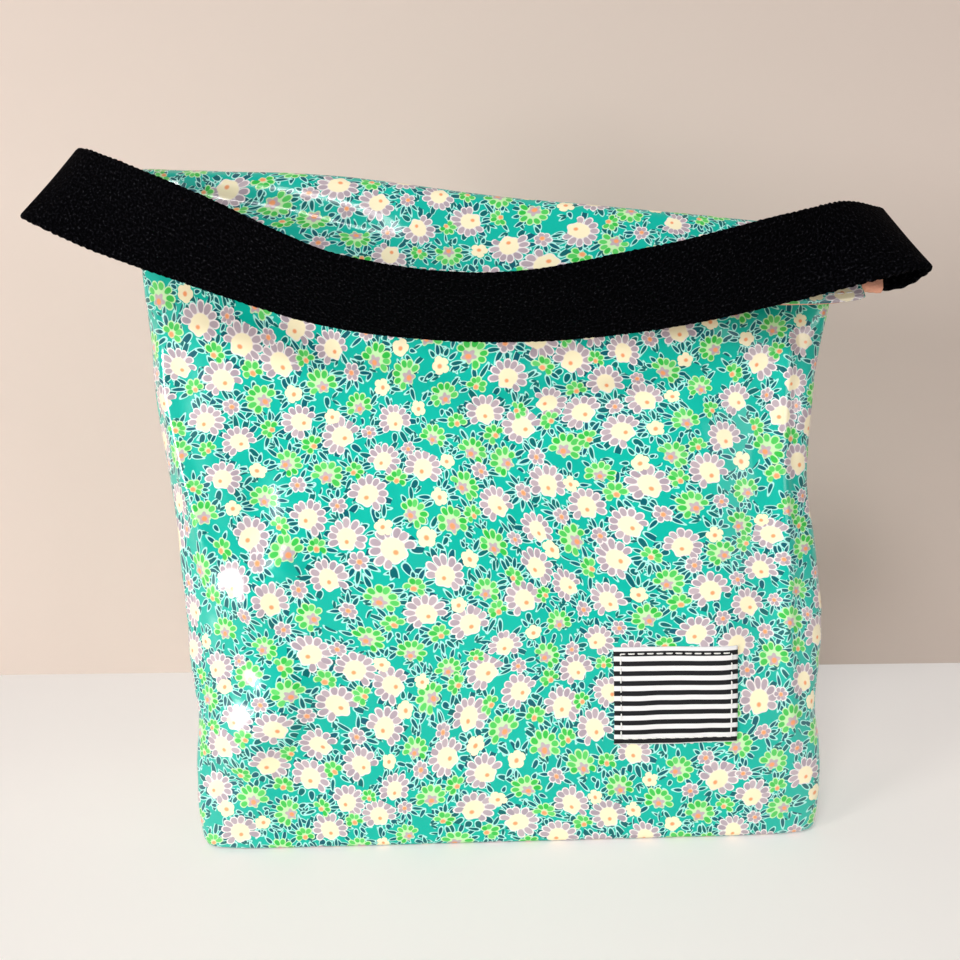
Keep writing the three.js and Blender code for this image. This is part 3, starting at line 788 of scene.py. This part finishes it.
# side is -1 for the front; arc runs along the section from its middle, v up the cloth and on over the fold
def relief(side, arc, half, v):
    top, calm = bagSize["foldHeight"], reliefCalm
    height = 0
    for wave in reliefWaves:
        noiseHere = softNoise(wave["seed"], arc + 400 * side, v * wave["climb"], wave["size"])
        height = height + wave["height"] * noiseHere
    for crease in (frontCreases if side < 0 else backCreases):
        height = height + creaseHeight(arc, v, *crease)
    nearFold = smooth(v, top - calm["foldFrom"], top - calm["foldTo"])
    height = height * (smooth(v, calm["baseFrom"], calm["baseTo"]) * (1 - calm["foldShare"] * nearFold))
    for crease in (lipCreases if side > 0 else []):
        height = height + creaseHeight(arc, v, *crease)
    seam = half - np.abs(arc)
    dip = seamDip["depth"] * np.exp(-(seam / seamDip["width"]) ** 2)
    return height * smooth(seam, 0, calm["seam"]) - dip


# How far the crest bows up on the left, on both sides of the fold
def crestRise(x, v):
    top, bow = bagSize["foldHeight"], crestBow
    fading = 1 - bow["loss"] * smooth(v, top + foldRun, top + foldRun + bow["beyond"])
    weight = smooth(v, top - bow["below"], top) * fading
    return bow["rise"] * weight * np.exp(-((x - bow["middle"]) / bow["width"]) ** 2)


# Depth of the lips at a share of their half width
def lipReach(x):
    return bagSize["lipDepth"] - bagSize["lipEndRise"] * np.abs(x) ** 3


def lipGap(s):
    return seamGap + (lipSeamGap - seamGap) * smooth(s, 0, lipSpread)


# Outer grid of the front or back cloth from the base over the fold to the mouth's edge, with its cloth map
def clothCourse(side, size, inset, start):
    columns, top = size["columns"], bagSize["foldHeight"]
    lower = np.linspace(start, bagSize["edgeRound"], 5)[:-1]
    heights = np.concatenate([lower, np.linspace(bagSize["edgeRound"], top, size["bodyRows"])])
    rows = []
    for z in heights:
        section = bodySection(z)
        angles, length = evenAngles(section, columns, inset)
        x, forward = sectionPoint(section, angles, inset, seamGap)
        rows.append((bodyPlace(z, x, forward, side), length, x, np.full(columns + 1, z)))
    for part in np.arange(1, size["foldRows"] + 1) / size["foldRows"]:
        points = placed(turned(x, side * forward, 0, bagSize["foldTurn"] * part), topFrame)
        rows.append((points, length, x, np.full(columns + 1, top + foldRun * part)))
    reach = lipReach(np.cos(angles))
    if side < 0:
        reach = reach - innerLipShort * forward / bagSize["foldHalfDepth"]
    for k in range(1, size["lipRows"] + 1):
        s = reach * k / size["lipRows"]
        lipX, lipForward = sectionPoint(lipSection(s), angles, inset, lipGap(s))
        points = placed(turned(lipX, side * lipForward, s, bagSize["foldTurn"]), topFrame)
        rows.append((points, length, lipX, top + foldRun + s))
    grid, lengths, x, v = (np.array(column) for column in zip(*rows))
    lengths = lengths[:, None]
    across = (np.linspace(0, 1, columns + 1) - 0.5) * lengths
    arc = across
    if side > 0:
        grid, x, v, arc = grid[:, ::-1], x[:, ::-1], v[:, ::-1], arc[:, ::-1]
    grid = grid + gridNormals(grid) * relief(side, arc, lengths / 2, v)[..., None]
    grid[..., 2] += crestRise(x, v)
    climb = runAlong(grid[:, columns // 2])
    return grid, np.stack([across + mapMiddle * side, np.broadcast_to(climb[:, None], across.shape)], axis=-1)


# Point at a distance along the direction in which the cloth passes from bag to flap
def passing(distance):
    tilt = math.radians(passingTilt)
    local = np.array([0, -distance * math.cos(tilt), distance * math.sin(tilt)])
    return tuple(float(c) for c in placed(local, topFrame) * mm)


# The two layers: how far each lies inside the bag's outer face and starts above its underside
outerLayer = dict(
    slot="laminated_print", thick=bagSize["shell"], materials=[laminate, clothBack], mesh=clothMesh, inset=0,
    start=0,
)
liningLayer = dict(
    slot="lining_cloth", thick=bagSize["lining"], materials=[liningCloth], mesh=liningMesh,
    inset=bagSize["shell"] + bagSize["clear"] + bagSize["liningSlack"], start=bagSize["edgeRound"] * 0.4,
)


def makeCloth(name, layer, side, nodes, blendRange):
    grid, uv = clothCourse(side, layer["mesh"], layer["inset"], layer["start"])
    piece = clothSolid(name, grid, uv, layer["thick"], layer["materials"])
    declare(piece, nodes)
    passing(blendRange[0])
    passing(blendRange[1])
    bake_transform(piece)
    return grid


# The base or its lining, which lies a little wavy
def makeFloorCloth(name, layer, node, z, inset):
    isLining = layer is liningLayer
    section = bodySection(z)
    angles = evenAngles(section, floorMesh["columns"], inset)[0][1:-1]
    x, forward = sectionPoint(section, angles, inset, 0)
    # The two ends are straight, so one column at each runs over their whole depth
    ends = np.flatnonzero(np.abs(x) > np.abs(x).max() - 0.01)
    kept = slice(ends[ends < len(x) // 2].max(), ends[ends > len(x) // 2].min() + 1)
    x, forward = x[kept], forward[kept]
    share = (np.linspace(-1, 1, floorMesh["rows"] + 1) * (1 if isLining else -1))[:, None]
    y = share * forward
    face = z + (layer["thick"] if isLining else 0)
    grid = np.stack([np.broadcast_to(x, y.shape), y, np.full(y.shape, face)], axis=-1)
    if isLining:
        waver = floorMesh["waver"] * (1 + softNoise(21, grid[..., 0], grid[..., 1], floorMesh["waverSize"]))
        grid[..., 2] += waver * (1 - np.abs(share) ** 4)
    piece = clothSolid(name, grid, grid[..., :2], layer["thick"], layer["materials"][:1])
    declare(piece, [node], "bag")


frontGrid = makeCloth("frontCloth", outerLayer, -1, ["front_panel", "front_fold", "front_lip"], (3.9, 5.0))
backGrid = makeCloth("backCloth", outerLayer, 1, ["back_panel", "back_fold", "back_lip"], (2.2, 7))
makeCloth("frontLining", liningLayer, -1, ["front_lining", "front_fold_lining", "front_lip_lining"], (3.2, 6))
makeCloth("backLining", liningLayer, 1, ["back_lining", "back_fold_lining", "back_lip_lining"], (2.2, 7))
makeFloorCloth("baseCloth", outerLayer, "base_panel", 0, 0.9)
makeFloorCloth("baseLining", liningLayer, "base_lining", 0.9, 2.4)
print("cloth laid")


# Webbing: sections with round edges, points given across and through the strip

def stripOutline(width, thick, faceSteps, edgeSteps):
    turn = np.linspace(-math.pi / 2, math.pi / 2, edgeSteps + 1)
    half, curve = width / 2, thick / 2
    right = np.stack([half - curve + curve * np.cos(turn), curve * np.sin(turn)], axis=1)
    level = np.linspace(half - curve, curve - half, faceSteps + 1)[1:-1]
    upper = np.stack([level, np.full(faceSteps - 1, curve)], axis=1)
    return np.concatenate([right, upper, -right, -upper])


# Sections of a strip, from rows of its middle, directions across and through, width, thickness and the
# place along the webbing
def stripSections(rows, mesh):
    sections, uv = [], []
    for centre, across, through, width, thick, along in rows:
        outline = stripOutline(width, thick, mesh["faceSteps"], mesh["edgeSteps"])
        sections.append(centre + across * outline[:, :1] + through * outline[:, 1:])
        uv.append(np.stack([np.full(len(outline), along), outline[:, 0]], axis=1))
    return placed(np.array(sections), topFrame), np.array(uv)


# Smooth course through points, eased by the square root of their distances
def curvePoints(points, t):
    points = np.array(points, float)
    last = len(points) - 1
    padded = np.concatenate([[2 * points[0] - points[1]], points, [2 * points[-1] - points[-2]]])
    k = np.minimum(np.floor(t * last).astype(int), last - 1)
    w = (t * last - k)[:, None]
    p0, p1, p2, p3 = (padded[k + m] for m in range(4))
    d0, d1, d2 = (np.sqrt(np.linalg.norm(b - a, axis=1))[:, None] for a, b in ((p0, p1), (p1, p2), (p2, p3)))
    t1 = ((p1 - p0) / d0 - (p2 - p0) / (d0 + d1) + (p2 - p1) / d1) * d1
    t2 = ((p2 - p1) / d1 - (p3 - p1) / (d1 + d2) + (p3 - p2) / d2) * d1
    return p1 + t1 * w + (-3 * p1 + 3 * p2 - 2 * t1 - t2) * w ** 2 + (2 * p1 - 2 * p2 + t1 + t2) * w ** 3


# From right to left in the handle's frame: share of the root, further out, y, z of the upper edge,
# then the direction across to the lower edge
handleCourse = [
    ((1, 0, -5.6, 11.8), (0, -0.45, -0.89)),
    ((1, 0.2, -6.6, 12.2), (0.18, -0.5, -0.86)),
    ((1, -1.6, -10, 12.6), (0.38, -0.58, -0.68)),
    ((1, -8.4, -18, 12.2), (0.43, -0.59, -0.62)),
    ((0.85, 0, -27, 12.4), (0.35, -0.47, -0.78)),
    ((0.697, 0, -42.5, 6.5), (0.15, 0.32, -0.93)),
    ((0.355, 0, -51, -8.5), (0.06, 0.47, -0.88)),
    ((0, 0, -59, -20), (0, 0.69, -0.72)),
    ((-0.355, 0, -56, -16.6), (-0.06, 0.63, -0.77)),
    ((-0.69, 0, -46.5, 0.4), (-0.19, 0.33, -0.93)),
    ((-0.912, 0, -28.5, 10.8), (-0.28, -0.14, -0.95)),
    ((-1, 0, -19, 14), (-0.36, -0.33, -0.87)),
    ((-1, 4.2, -11.5, 13.8), (-0.5, -0.38, -0.78)),
    ((-1, 3, -6.4, 12.4), (-0.22, -0.44, -0.87)),
    ((-1, 0, -5.6, 11.8), (0, -0.45, -0.89)),
]
strapMesh = dict(sections=640, faceSteps=22, edgeSteps=6)
strapEdge = dict(
    scallop=0.33, pitch=2.6, waver=0.35, waverSize=19, fuzz=0.28, fuzzSize=1.1, bow=0.5, bowSize=24,
)

# Share of the strap in each end stretch, and how far out its bend begins and ends
strapBend = dict(share=0.37, start=143, end=94)


def coursePoint(key, distance):
    (share, out, y, z), direction = key
    edge = np.array([share * handleRoot + np.sign(share) * out, y, z])
    return edge + unit(np.array(direction, float)) * distance


# Sections along the whole strap, with their places on the webbing and their normals
def strapSections():
    t = np.linspace(0, 1, strapMesh["sections"] + 1)
    upper, middle, lower = ([coursePoint(key, distance) for key in handleCourse]
                            for distance in (0, webbingSize["width"] / 2, webbingSize["width"]))
    upper, lower = curvePoints(upper, t), curvePoints(lower, t)
    ahead = curvePoints(middle, np.minimum(t + 0.01, 1)) - curvePoints(middle, np.maximum(t - 0.01, 0))
    ahead[0] = ahead[-1] = (1, 0, 0)
    across = lower - upper
    through = unit(np.cross(across, ahead))
    centre = (upper + lower) / 2
    width = np.linalg.norm(across, axis=1)
    across = unit(across)
    run = runAlong(centre)
    faceSteps, edgeSteps = strapMesh["faceSteps"], strapMesh["edgeSteps"]
    sections, uv = [], []
    for i in range(len(t)):
        outline = stripOutline(1, webbingSize["thick"] / width[i], faceSteps, edgeSteps)
        wide = width[i] + strapEdge["scallop"] * math.sin(2 * math.pi * run[i] / strapEdge["pitch"])
        wide = wide + strapEdge["waver"] * float(softNoise(31, run[i], 0.0, strapEdge["waverSize"]))
        wide = wide + strapEdge["fuzz"] * float(softNoise(35, run[i], 0.0, strapEdge["fuzzSize"]))
        a, b = outline[:, 0] * wide, outline[:, 1] * width[i]
        bow = strapEdge["bow"] * softNoise(33, run[i] + a * 0.3, a, strapEdge["bowSize"])
        lift = bow * math.sin(math.pi * t[i]) ** 0.5
        sections.append(centre[i] + across[i] * a[:, None] + through[i] * (b + lift)[:, None])
        uv.append(np.stack([np.full(len(a), run[i]), a], axis=1))
    sections = placed(np.array(sections), handleFrame)
    return sections, np.array(uv), ringNormals(sections)


def hingePoint(x):
    place = np.array([x, webbingSize["hingeY"], webbingSize["hingeZ"]])
    return tuple(float(c) for c in placed(place, handleFrame) * mm)


# Three stretches of one strap: the outer two run between the flap and the handle's own turn
def makeHandle():
    parts = strapSections()
    first = int(round(strapBend["share"] * strapMesh["sections"]))
    last = strapMesh["sections"] - first
    stretches = [
        ("rightHandleBend", "right_handle_bend", 0, first, 1),
        ("handleStrap", "handle", first, last, 0),
        ("leftHandleBend", "left_handle_bend", last, strapMesh["sections"], -1),
    ]
    for name, node, start, stop, side in stretches:
        sections, uv, normals = (part[start:stop + 1] for part in parts)
        piece = sweptSolid(name, sections, uv, [webbing], normals=normals)
        declare(piece, [node], None if side else "handle")
        if side:
            hingePoint(side * strapBend["start"])
            hingePoint(side * strapBend["end"])
            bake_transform(piece)


handleInTop = np.linalg.inv(topFrame) @ handleFrame
foldAlong = turned(0.0, 0.0, 1.0, bagSize["foldTurn"]) - turned(0.0, 0.0, 0.0, bagSize["foldTurn"])
tailMiddle = bagSize["clear"] * 3 + webbingSize["tailWidth"] / 2
tailWidens = (bagSize["lipHalfWidth"] - 0.1, bagSize["lipHalfWidth"] + 0.3)
tailMesh = dict(sewn=24, widening=9, free=12, faceSteps=14, edgeSteps=6)
tabMesh = dict(steps=12, turnSteps=7, faceSteps=30, edgeSteps=8)


# Middle, edge direction, thickness direction and width of the sewn-in webbing at x, on one side
def tailFrame(x, side):
    s = float(smooth(x, *tailWidens))
    sewn = turned(side * x, 0.0, tailMiddle, bagSize["foldTurn"])
    root = coursePoint(handleCourse[0], webbingSize["width"] / 2)
    root[0] = side * x
    root = placed(root, handleInTop)
    direction = handleInTop[:3, :3] @ unit(np.array(handleCourse[0][1], float))
    across = unit(foldAlong * (1 - s) + direction * s)
    outwards = np.array([1.0, 0, 0]) * (1 - s) + handleInTop[:3, 0] * s
    through = unit(np.cross(outwards, across))
    width = webbingSize["tailWidth"] + (webbingSize["width"] - webbingSize["tailWidth"]) * s
    return sewn * (1 - s) + root * s, across, through, width


def makeTail(name, node, side):
    half = bagSize["lipHalfWidth"]
    sewn = np.linspace(half - webbingSize["tailSewn"], half - 0.2, tailMesh["sewn"])
    free = np.linspace(half + 0.5, handleRoot - 0.05, tailMesh["free"])
    along = [*sewn, *np.linspace(*tailWidens, tailMesh["widening"]), *free]
    rows = [(*tailFrame(x, side), webbingSize["thick"], side * x) for x in along]
    declare(sweptSolid(name, *stripSections(rows, tailMesh), [webbing]), [node], "flap")


# Sleeve of lining cloth round the webbing, with its two edges folded in.
# Its course gives x and how far the cloth stands off the webbing, out along the inside and back outside.
def makeTab(name, node, side):
    start, end = bagSize["lipHalfWidth"] - webbingSize["tabHidden"], handleRoot - webbingSize["tabShort"]
    low, high = bagSize["clear"], bagSize["clear"] + webbingSize["tabCloth"]
    curve = (high - low) / 2
    turn = np.linspace(-math.pi / 2, math.pi / 2, tabMesh["turnSteps"])[1:-1]
    steps = np.linspace(start + curve, end - curve, tabMesh["steps"])
    course = [(x, low) for x in steps]
    course += [(end - curve + curve * math.cos(a), low + curve + curve * math.sin(a)) for a in turn]
    course += [(x, high + 0.1 * math.sin(x * 2.6)) for x in steps[::-1]]
    course += [(start + curve - curve * math.cos(a), low + curve - curve * math.sin(a)) for a in turn]
    rows = []
    for x, grow in course:
        centre, across, through, width = tailFrame(max(x, tailWidens[1]), side)
        centre = np.array([side * x, *(centre + across * 0.3)[1:]])
        size = (width + 2 * grow - 0.5, webbingSize["thick"] + 2 * grow)
        rows.append((centre, across, through, *size, side * x + 3 * grow))
    piece = sweptSolid(name, *stripSections(rows, tabMesh), [liningCloth], ring=True)
    declare(piece, [node], "flap")


makeHandle()
for sideName, side in (("left", -1), ("right", 1)):
    makeTail(sideName + "HandleEnd", sideName + "_handle_end", side)
    makeTab(sideName + "HandleTab", sideName + "_handle_tab", side)
print("webbing made")


# Stitches: short rounded threads that dip into the cloth at both ends

firstLip = frontGrid.shape[0] - 1 - clothMesh["lipRows"]
stitchSize = dict(length=2.7, gap=0.8, radius=0.27, dip=0.28, rings=9, around=8)
mouthRow = dict(margin=5, places=400, fromEdge=4)
boxStitch = dict(fromEnd=6.5, width=9, margin=2, steps=12, reachAt=0.9)


def stitchRow(name, points, outs, closed, material):
    if closed:
        points = np.concatenate([points, points[:1]])
        outs = np.concatenate([outs, outs[:1]])
    rings, around, radius = stitchSize["rings"], stitchSize["around"], stitchSize["radius"]
    run = runAlong(points)
    count = max(int(round(run[-1] / (stitchSize["length"] + stitchSize["gap"]))), 1)
    pitch = run[-1] / count
    turn = np.linspace(0, 2 * math.pi, around + 1)[:-1]
    steps = np.linspace(0, 1, rings)
    bulge = np.sqrt(np.clip(1 - (2 * steps - 1) ** 6, 0.03, 1))
    lift = radius * 0.75 - stitchSize["dip"] * np.abs(2 * steps - 1) ** 4
    bodies, uv, faces = [], [], []
    for k in range(count):
        at = k * pitch + stitchSize["gap"] / 2 + steps * (pitch - stitchSize["gap"])
        centre = np.stack([np.interp(at, run, points[:, m]) for m in range(3)], axis=1)
        out = unit(np.stack([np.interp(at, run, outs[:, m]) for m in range(3)], axis=1))
        beside = unit(np.cross(unit(np.gradient(centre, axis=0)), out))[:, None]
        ring = np.cos(turn)[None, :, None] * beside + np.sin(turn)[None, :, None] * out[:, None] * 0.8
        thread = ring * (radius * bulge)[:, None, None]
        bodies.append(centre[:, None] + out[:, None] * lift[:, None, None] + thread)
        uv.append(np.stack([np.repeat(at, around), np.tile(turn * radius, rings)], axis=1))
        faces += [[corner + k * rings * around for corner in face] for face in tubeFaces(rings, around)]
    return newObject(name, newMesh(name, np.array(bodies), faces, {"cloth": np.array(uv) * mm}), [material])


# Path on a laid grid, with its outward directions
def gridPath(grid, rows, columns):
    i, j = np.clip(rows, 0, grid.shape[0] - 1.001), np.clip(columns, 0, grid.shape[1] - 1.001)
    a, b = i.astype(int), j.astype(int)
    s, t = (i - a)[:, None], (j - b)[:, None]
    return [between([values[a + m, b + n] for n in (0, 1) for m in (0, 1)], s, t)
            for values in (grid, gridNormals(grid))]


def makeMouthStitches(name, node, grid):
    columns = np.linspace(mouthRow["margin"], grid.shape[1] - 1 - mouthRow["margin"], mouthRow["places"])
    up = 1 - mouthRow["fromEdge"] / bagSize["lipDepth"]
    rows = np.full(len(columns), firstLip + clothMesh["lipRows"] * up)
    piece = stitchRow(name, *gridPath(grid, rows, columns), False, whiteThread)
    declare(piece, [node], "flap")


def rectanglePath(width, height, steps):
    corners = np.array([(-1, -1), (1, -1), (1, 1), (-1, 1), (-1, -1)]) * (width / 2, height / 2)
    share = np.linspace(0, 1, steps, endpoint=False)[:, None]
    return np.concatenate([corners[k] + (corners[k + 1] - corners[k]) * share for k in range(4)])


def makeBoxStitches(name, node, side):
    middle = bagSize["lipHalfWidth"] - webbingSize["tailSewn"] + boxStitch["fromEnd"]
    high = webbingSize["tailWidth"] - 2 * boxStitch["margin"]
    path = rectanglePath(boxStitch["width"], high, boxStitch["steps"])
    x = (backGrid[firstLip + 4] - topFrame[:3, 3]) @ topFrame[:3, 0]
    order = np.argsort(x)
    columns = np.interp(side * (middle + path[:, 0]), x[order], order.astype(float))
    rows = firstLip + clothMesh["lipRows"] * (tailMiddle + path[:, 1]) / lipReach(boxStitch["reachAt"])
    piece = stitchRow(name, *gridPath(backGrid, rows, columns), True, blackThread)
    declare(piece, [node], "flap")


# Points that stand off the front cloth, taken straight forward
def frontSurface(x, z, outset):
    flat = []
    for a, b in zip(np.ravel(x), np.ravel(z)):
        w, h, n = bodySection(b)
        reach = (h - seamGap) * (1 - abs(a / w) ** n) ** (1 / n)
        flat.append(bodyPlace(b, a, seamGap + reach, -1))
    grid = np.array(flat).reshape(np.shape(x) + (3,))
    grid[..., 1] -= relief(-1, x, patchSize["seamAt"], z) + outset
    return grid


def makePatch():
    size = patchSize
    rows, columns = size["rows"], size["columns"]
    z, x = np.meshgrid(np.linspace(-0.5, 0.5, rows + 1), np.linspace(-0.5, 0.5, columns + 1), indexing="ij")
    flat = np.stack([x * size["width"], z * size["height"]], axis=-1)
    puff = size["puff"] * smooth(np.minimum(0.5 - np.abs(x), 0.5 - np.abs(z)), 0, size["puffEdge"])
    waver = size["waver"] * softNoise(41, flat[..., 0], flat[..., 1], size["waverSize"])
    outset = bagSize["clear"] + size["thick"] + puff - size["sunk"] + waver
    grid = frontSurface(size["x"] + flat[..., 0], size["z"] + flat[..., 1], outset)
    piece = clothSolid("stripedPatch", grid, flat + (100, 50), size["thick"], [stripes])
    declare(piece, ["patch"], "bag")
    path = rectanglePath(size["width"] - 2 * size["inset"], size["height"] - 2 * size["inset"], 60)
    rowPlaces = (path[:, 1] / size["height"] + 0.5) * rows
    columnPlaces = (path[:, 0] / size["width"] + 0.5) * columns
    stitches = stitchRow("patchStitches", *gridPath(grid, rowPlaces, columnPlaces), True, whiteThread)
    declare(stitches, ["patch_stitching"], "bag")


makePatch()
makeMouthStitches("frontMouthStitches", "front_mouth_stitching", frontGrid)
makeMouthStitches("backMouthStitches", "back_mouth_stitching", backGrid)
makeBoxStitches("leftBoxStitches", "left_handle_stitching", -1)
makeBoxStitches("rightBoxStitches", "right_handle_stitching", 1)
print("stitches made")


# Floor, wall, light and camera

floorLook = dict(colour=srgb(253, 247, 242), roughness=0.55, specular=0.2, glow=0.3)
wallLook = dict(colour=srgb(226, 212, 203), roughness=0.8, specular=0.2)
stageSize = dict(reach=4, wallY=0.142, wallTurn=0.034, wallHeight=3)


def plainMaterial(name, look):
    material, shader = newMaterial(name, look)
    place = Wire(newNode(material.node_tree, "ShaderNodeTexCoord", []).outputs["Object"])
    put(shader["Base Color"], mixed(noise(place, 6.0, 3.0), shaded(look["colour"], 0.97), look["colour"]))
    return material


def mixShaders(material, factor, second):
    nodes = material.node_tree.nodes
    shaders = {0: factor, 1: Wire(nodes["Principled BSDF"].outputs[0]), 2: Wire(nodes.new(second).outputs[0])}
    choice = newNode(material.node_tree, "ShaderNodeMixShader", shaders)
    put(nodes["Material Output"].inputs["Surface"], Wire(choice.outputs[0]))
    return material


# Seen from its front only, so that the bag's back can be looked at through it
def oneSided(material):
    facing = newNode(material.node_tree, "ShaderNodeNewGeometry", []).outputs["Backfacing"]
    return mixShaders(material, Wire(facing), "ShaderNodeBsdfTransparent")


# A share of plain white in what the camera and reflections see, while the rest keeps the shadow
def whitened(material, share):
    rays = newNode(material.node_tree, "ShaderNodeLightPath", []).outputs
    camera, glossy, passed = (Wire(rays[f"Is {kind} Ray"]) for kind in ("Camera", "Glossy", "Transmission"))
    seen = calc("MAXIMUM", calc("MAXIMUM", camera, glossy), passed)
    return mixShaders(material, seen * share, "ShaderNodeEmission")


def stagePlane(name, corners, material):
    mesh = bpy.data.meshes.new(name)
    mesh.from_pydata(corners, [], [(0, 1, 2, 3)])
    newObject(name, mesh, [material])


def makeStage():
    reach, high = stageSize["reach"], stageSize["wallHeight"]
    near, far = (stageSize["wallY"] - stageSize["wallTurn"] * x for x in (reach, -reach))
    floor = [(-reach, -reach, 0), (reach, -reach, 0), (reach, reach, 0), (-reach, reach, 0)]
    wall = [(-reach, far, 0), (reach, near, 0), (reach, near, high), (-reach, far, high)]
    stagePlane("floor", floor, whitened(plainMaterial("floorPaint", floorLook), floorLook["glow"]))
    stagePlane("wall", wall, oneSided(plainMaterial("wallPaint", wallLook)))


makeStage()

areaLights = [
    dict(name="leftWindow", place=(-1, -0.8, 0.31), aim=(0, 0, 0.14), size=(0.32, 0.54), power=11,
         colour=(1, 0.98, 0.95)),
    dict(name="rightFill", place=(1.1, -1, 0.5), aim=(0.2, 0, 0.1), size=(1, 0.8), power=5.5,
         colour=(1, 0.98, 0.97)),
]
topLight = dict(name="topLight", place=(-0.2, -0.74, 0.96), aim=(0.03, -0.08, 0.05), angle=44, radius=0.15,
                power=22, colour=(1, 0.99, 0.97))


def addLight(look, kind):
    data = bpy.data.lights.new(look["name"], kind)
    data.energy, data.color = look["power"], look["colour"]
    item = bpy.data.objects.new(look["name"], data)
    item.location = look["place"]
    item.rotation_euler = (Vector(look["aim"]) - Vector(look["place"])).to_track_quat("-Z", "Y").to_euler()
    bpy.context.scene.collection.objects.link(item)
    return data


def makeLights():
    for look in areaLights:
        data = addLight(look, "AREA")
        data.shape = "RECTANGLE"
        data.size, data.size_y = look["size"]
    data = addLight(topLight, "SPOT")
    data.spot_size, data.spot_blend = math.radians(topLight["angle"]), 1
    data.shadow_soft_size = topLight["radius"]


makeLights()

# Weak light from the room around, and a pale backdrop where the camera sees past the floor and wall
worldLook = dict(colour=srgb(240, 236, 234), strength=0.2, backdrop=srgb(240, 236, 232))


def makeWorld():
    world = bpy.data.worlds.new("studio")
    world.use_nodes = True
    tree = world.node_tree
    light = tree.nodes["Background"]
    light.inputs["Color"].default_value = worldLook["colour"]
    light.inputs["Strength"].default_value = worldLook["strength"]
    seen = newNode(tree, "ShaderNodeBackground", {"Color": worldLook["backdrop"]})
    rays = newNode(tree, "ShaderNodeLightPath", [])
    sources = (rays.outputs["Is Camera Ray"], light.outputs[0], seen.outputs[0])
    choice = newNode(tree, "ShaderNodeMixShader", [Wire(source) for source in sources])
    put(tree.nodes["World Output"].inputs["Surface"], Wire(choice.outputs[0]))
    bpy.context.scene.world = world


makeWorld()

cameraView = dict(place=(-0.0122, -0.386, 0.2102), pitch=11.0, yaw=0.55, roll=-1.25, lens=37.5)


def makeCamera():
    data = bpy.data.cameras.new("camera")
    data.lens, data.sensor_width, data.clip_start, data.clip_end = cameraView["lens"], 36, 0.01, 20
    pitch, yaw, roll = (math.radians(cameraView[key]) for key in ("pitch", "yaw", "roll"))
    forward = Vector((math.sin(yaw) * math.cos(pitch), math.cos(yaw) * math.cos(pitch), -math.sin(pitch)))
    right = Vector((math.cos(yaw), -math.sin(yaw), 0))
    up = right.cross(forward)
    turnedRight = right * math.cos(roll) + up * math.sin(roll)
    turnedUp = up * math.cos(roll) - right * math.sin(roll)
    item = bpy.data.objects.new("camera", data)
    turn = Matrix((turnedRight, turnedUp, -forward)).transposed()
    item.matrix_world = Matrix.Translation(cameraView["place"]) @ turn.to_4x4()
    bpy.context.scene.collection.objects.link(item)
    bpy.context.scene.camera = item


makeCamera()
bpy.context.scene.view_settings.view_transform = "Standard"
print("stage set")
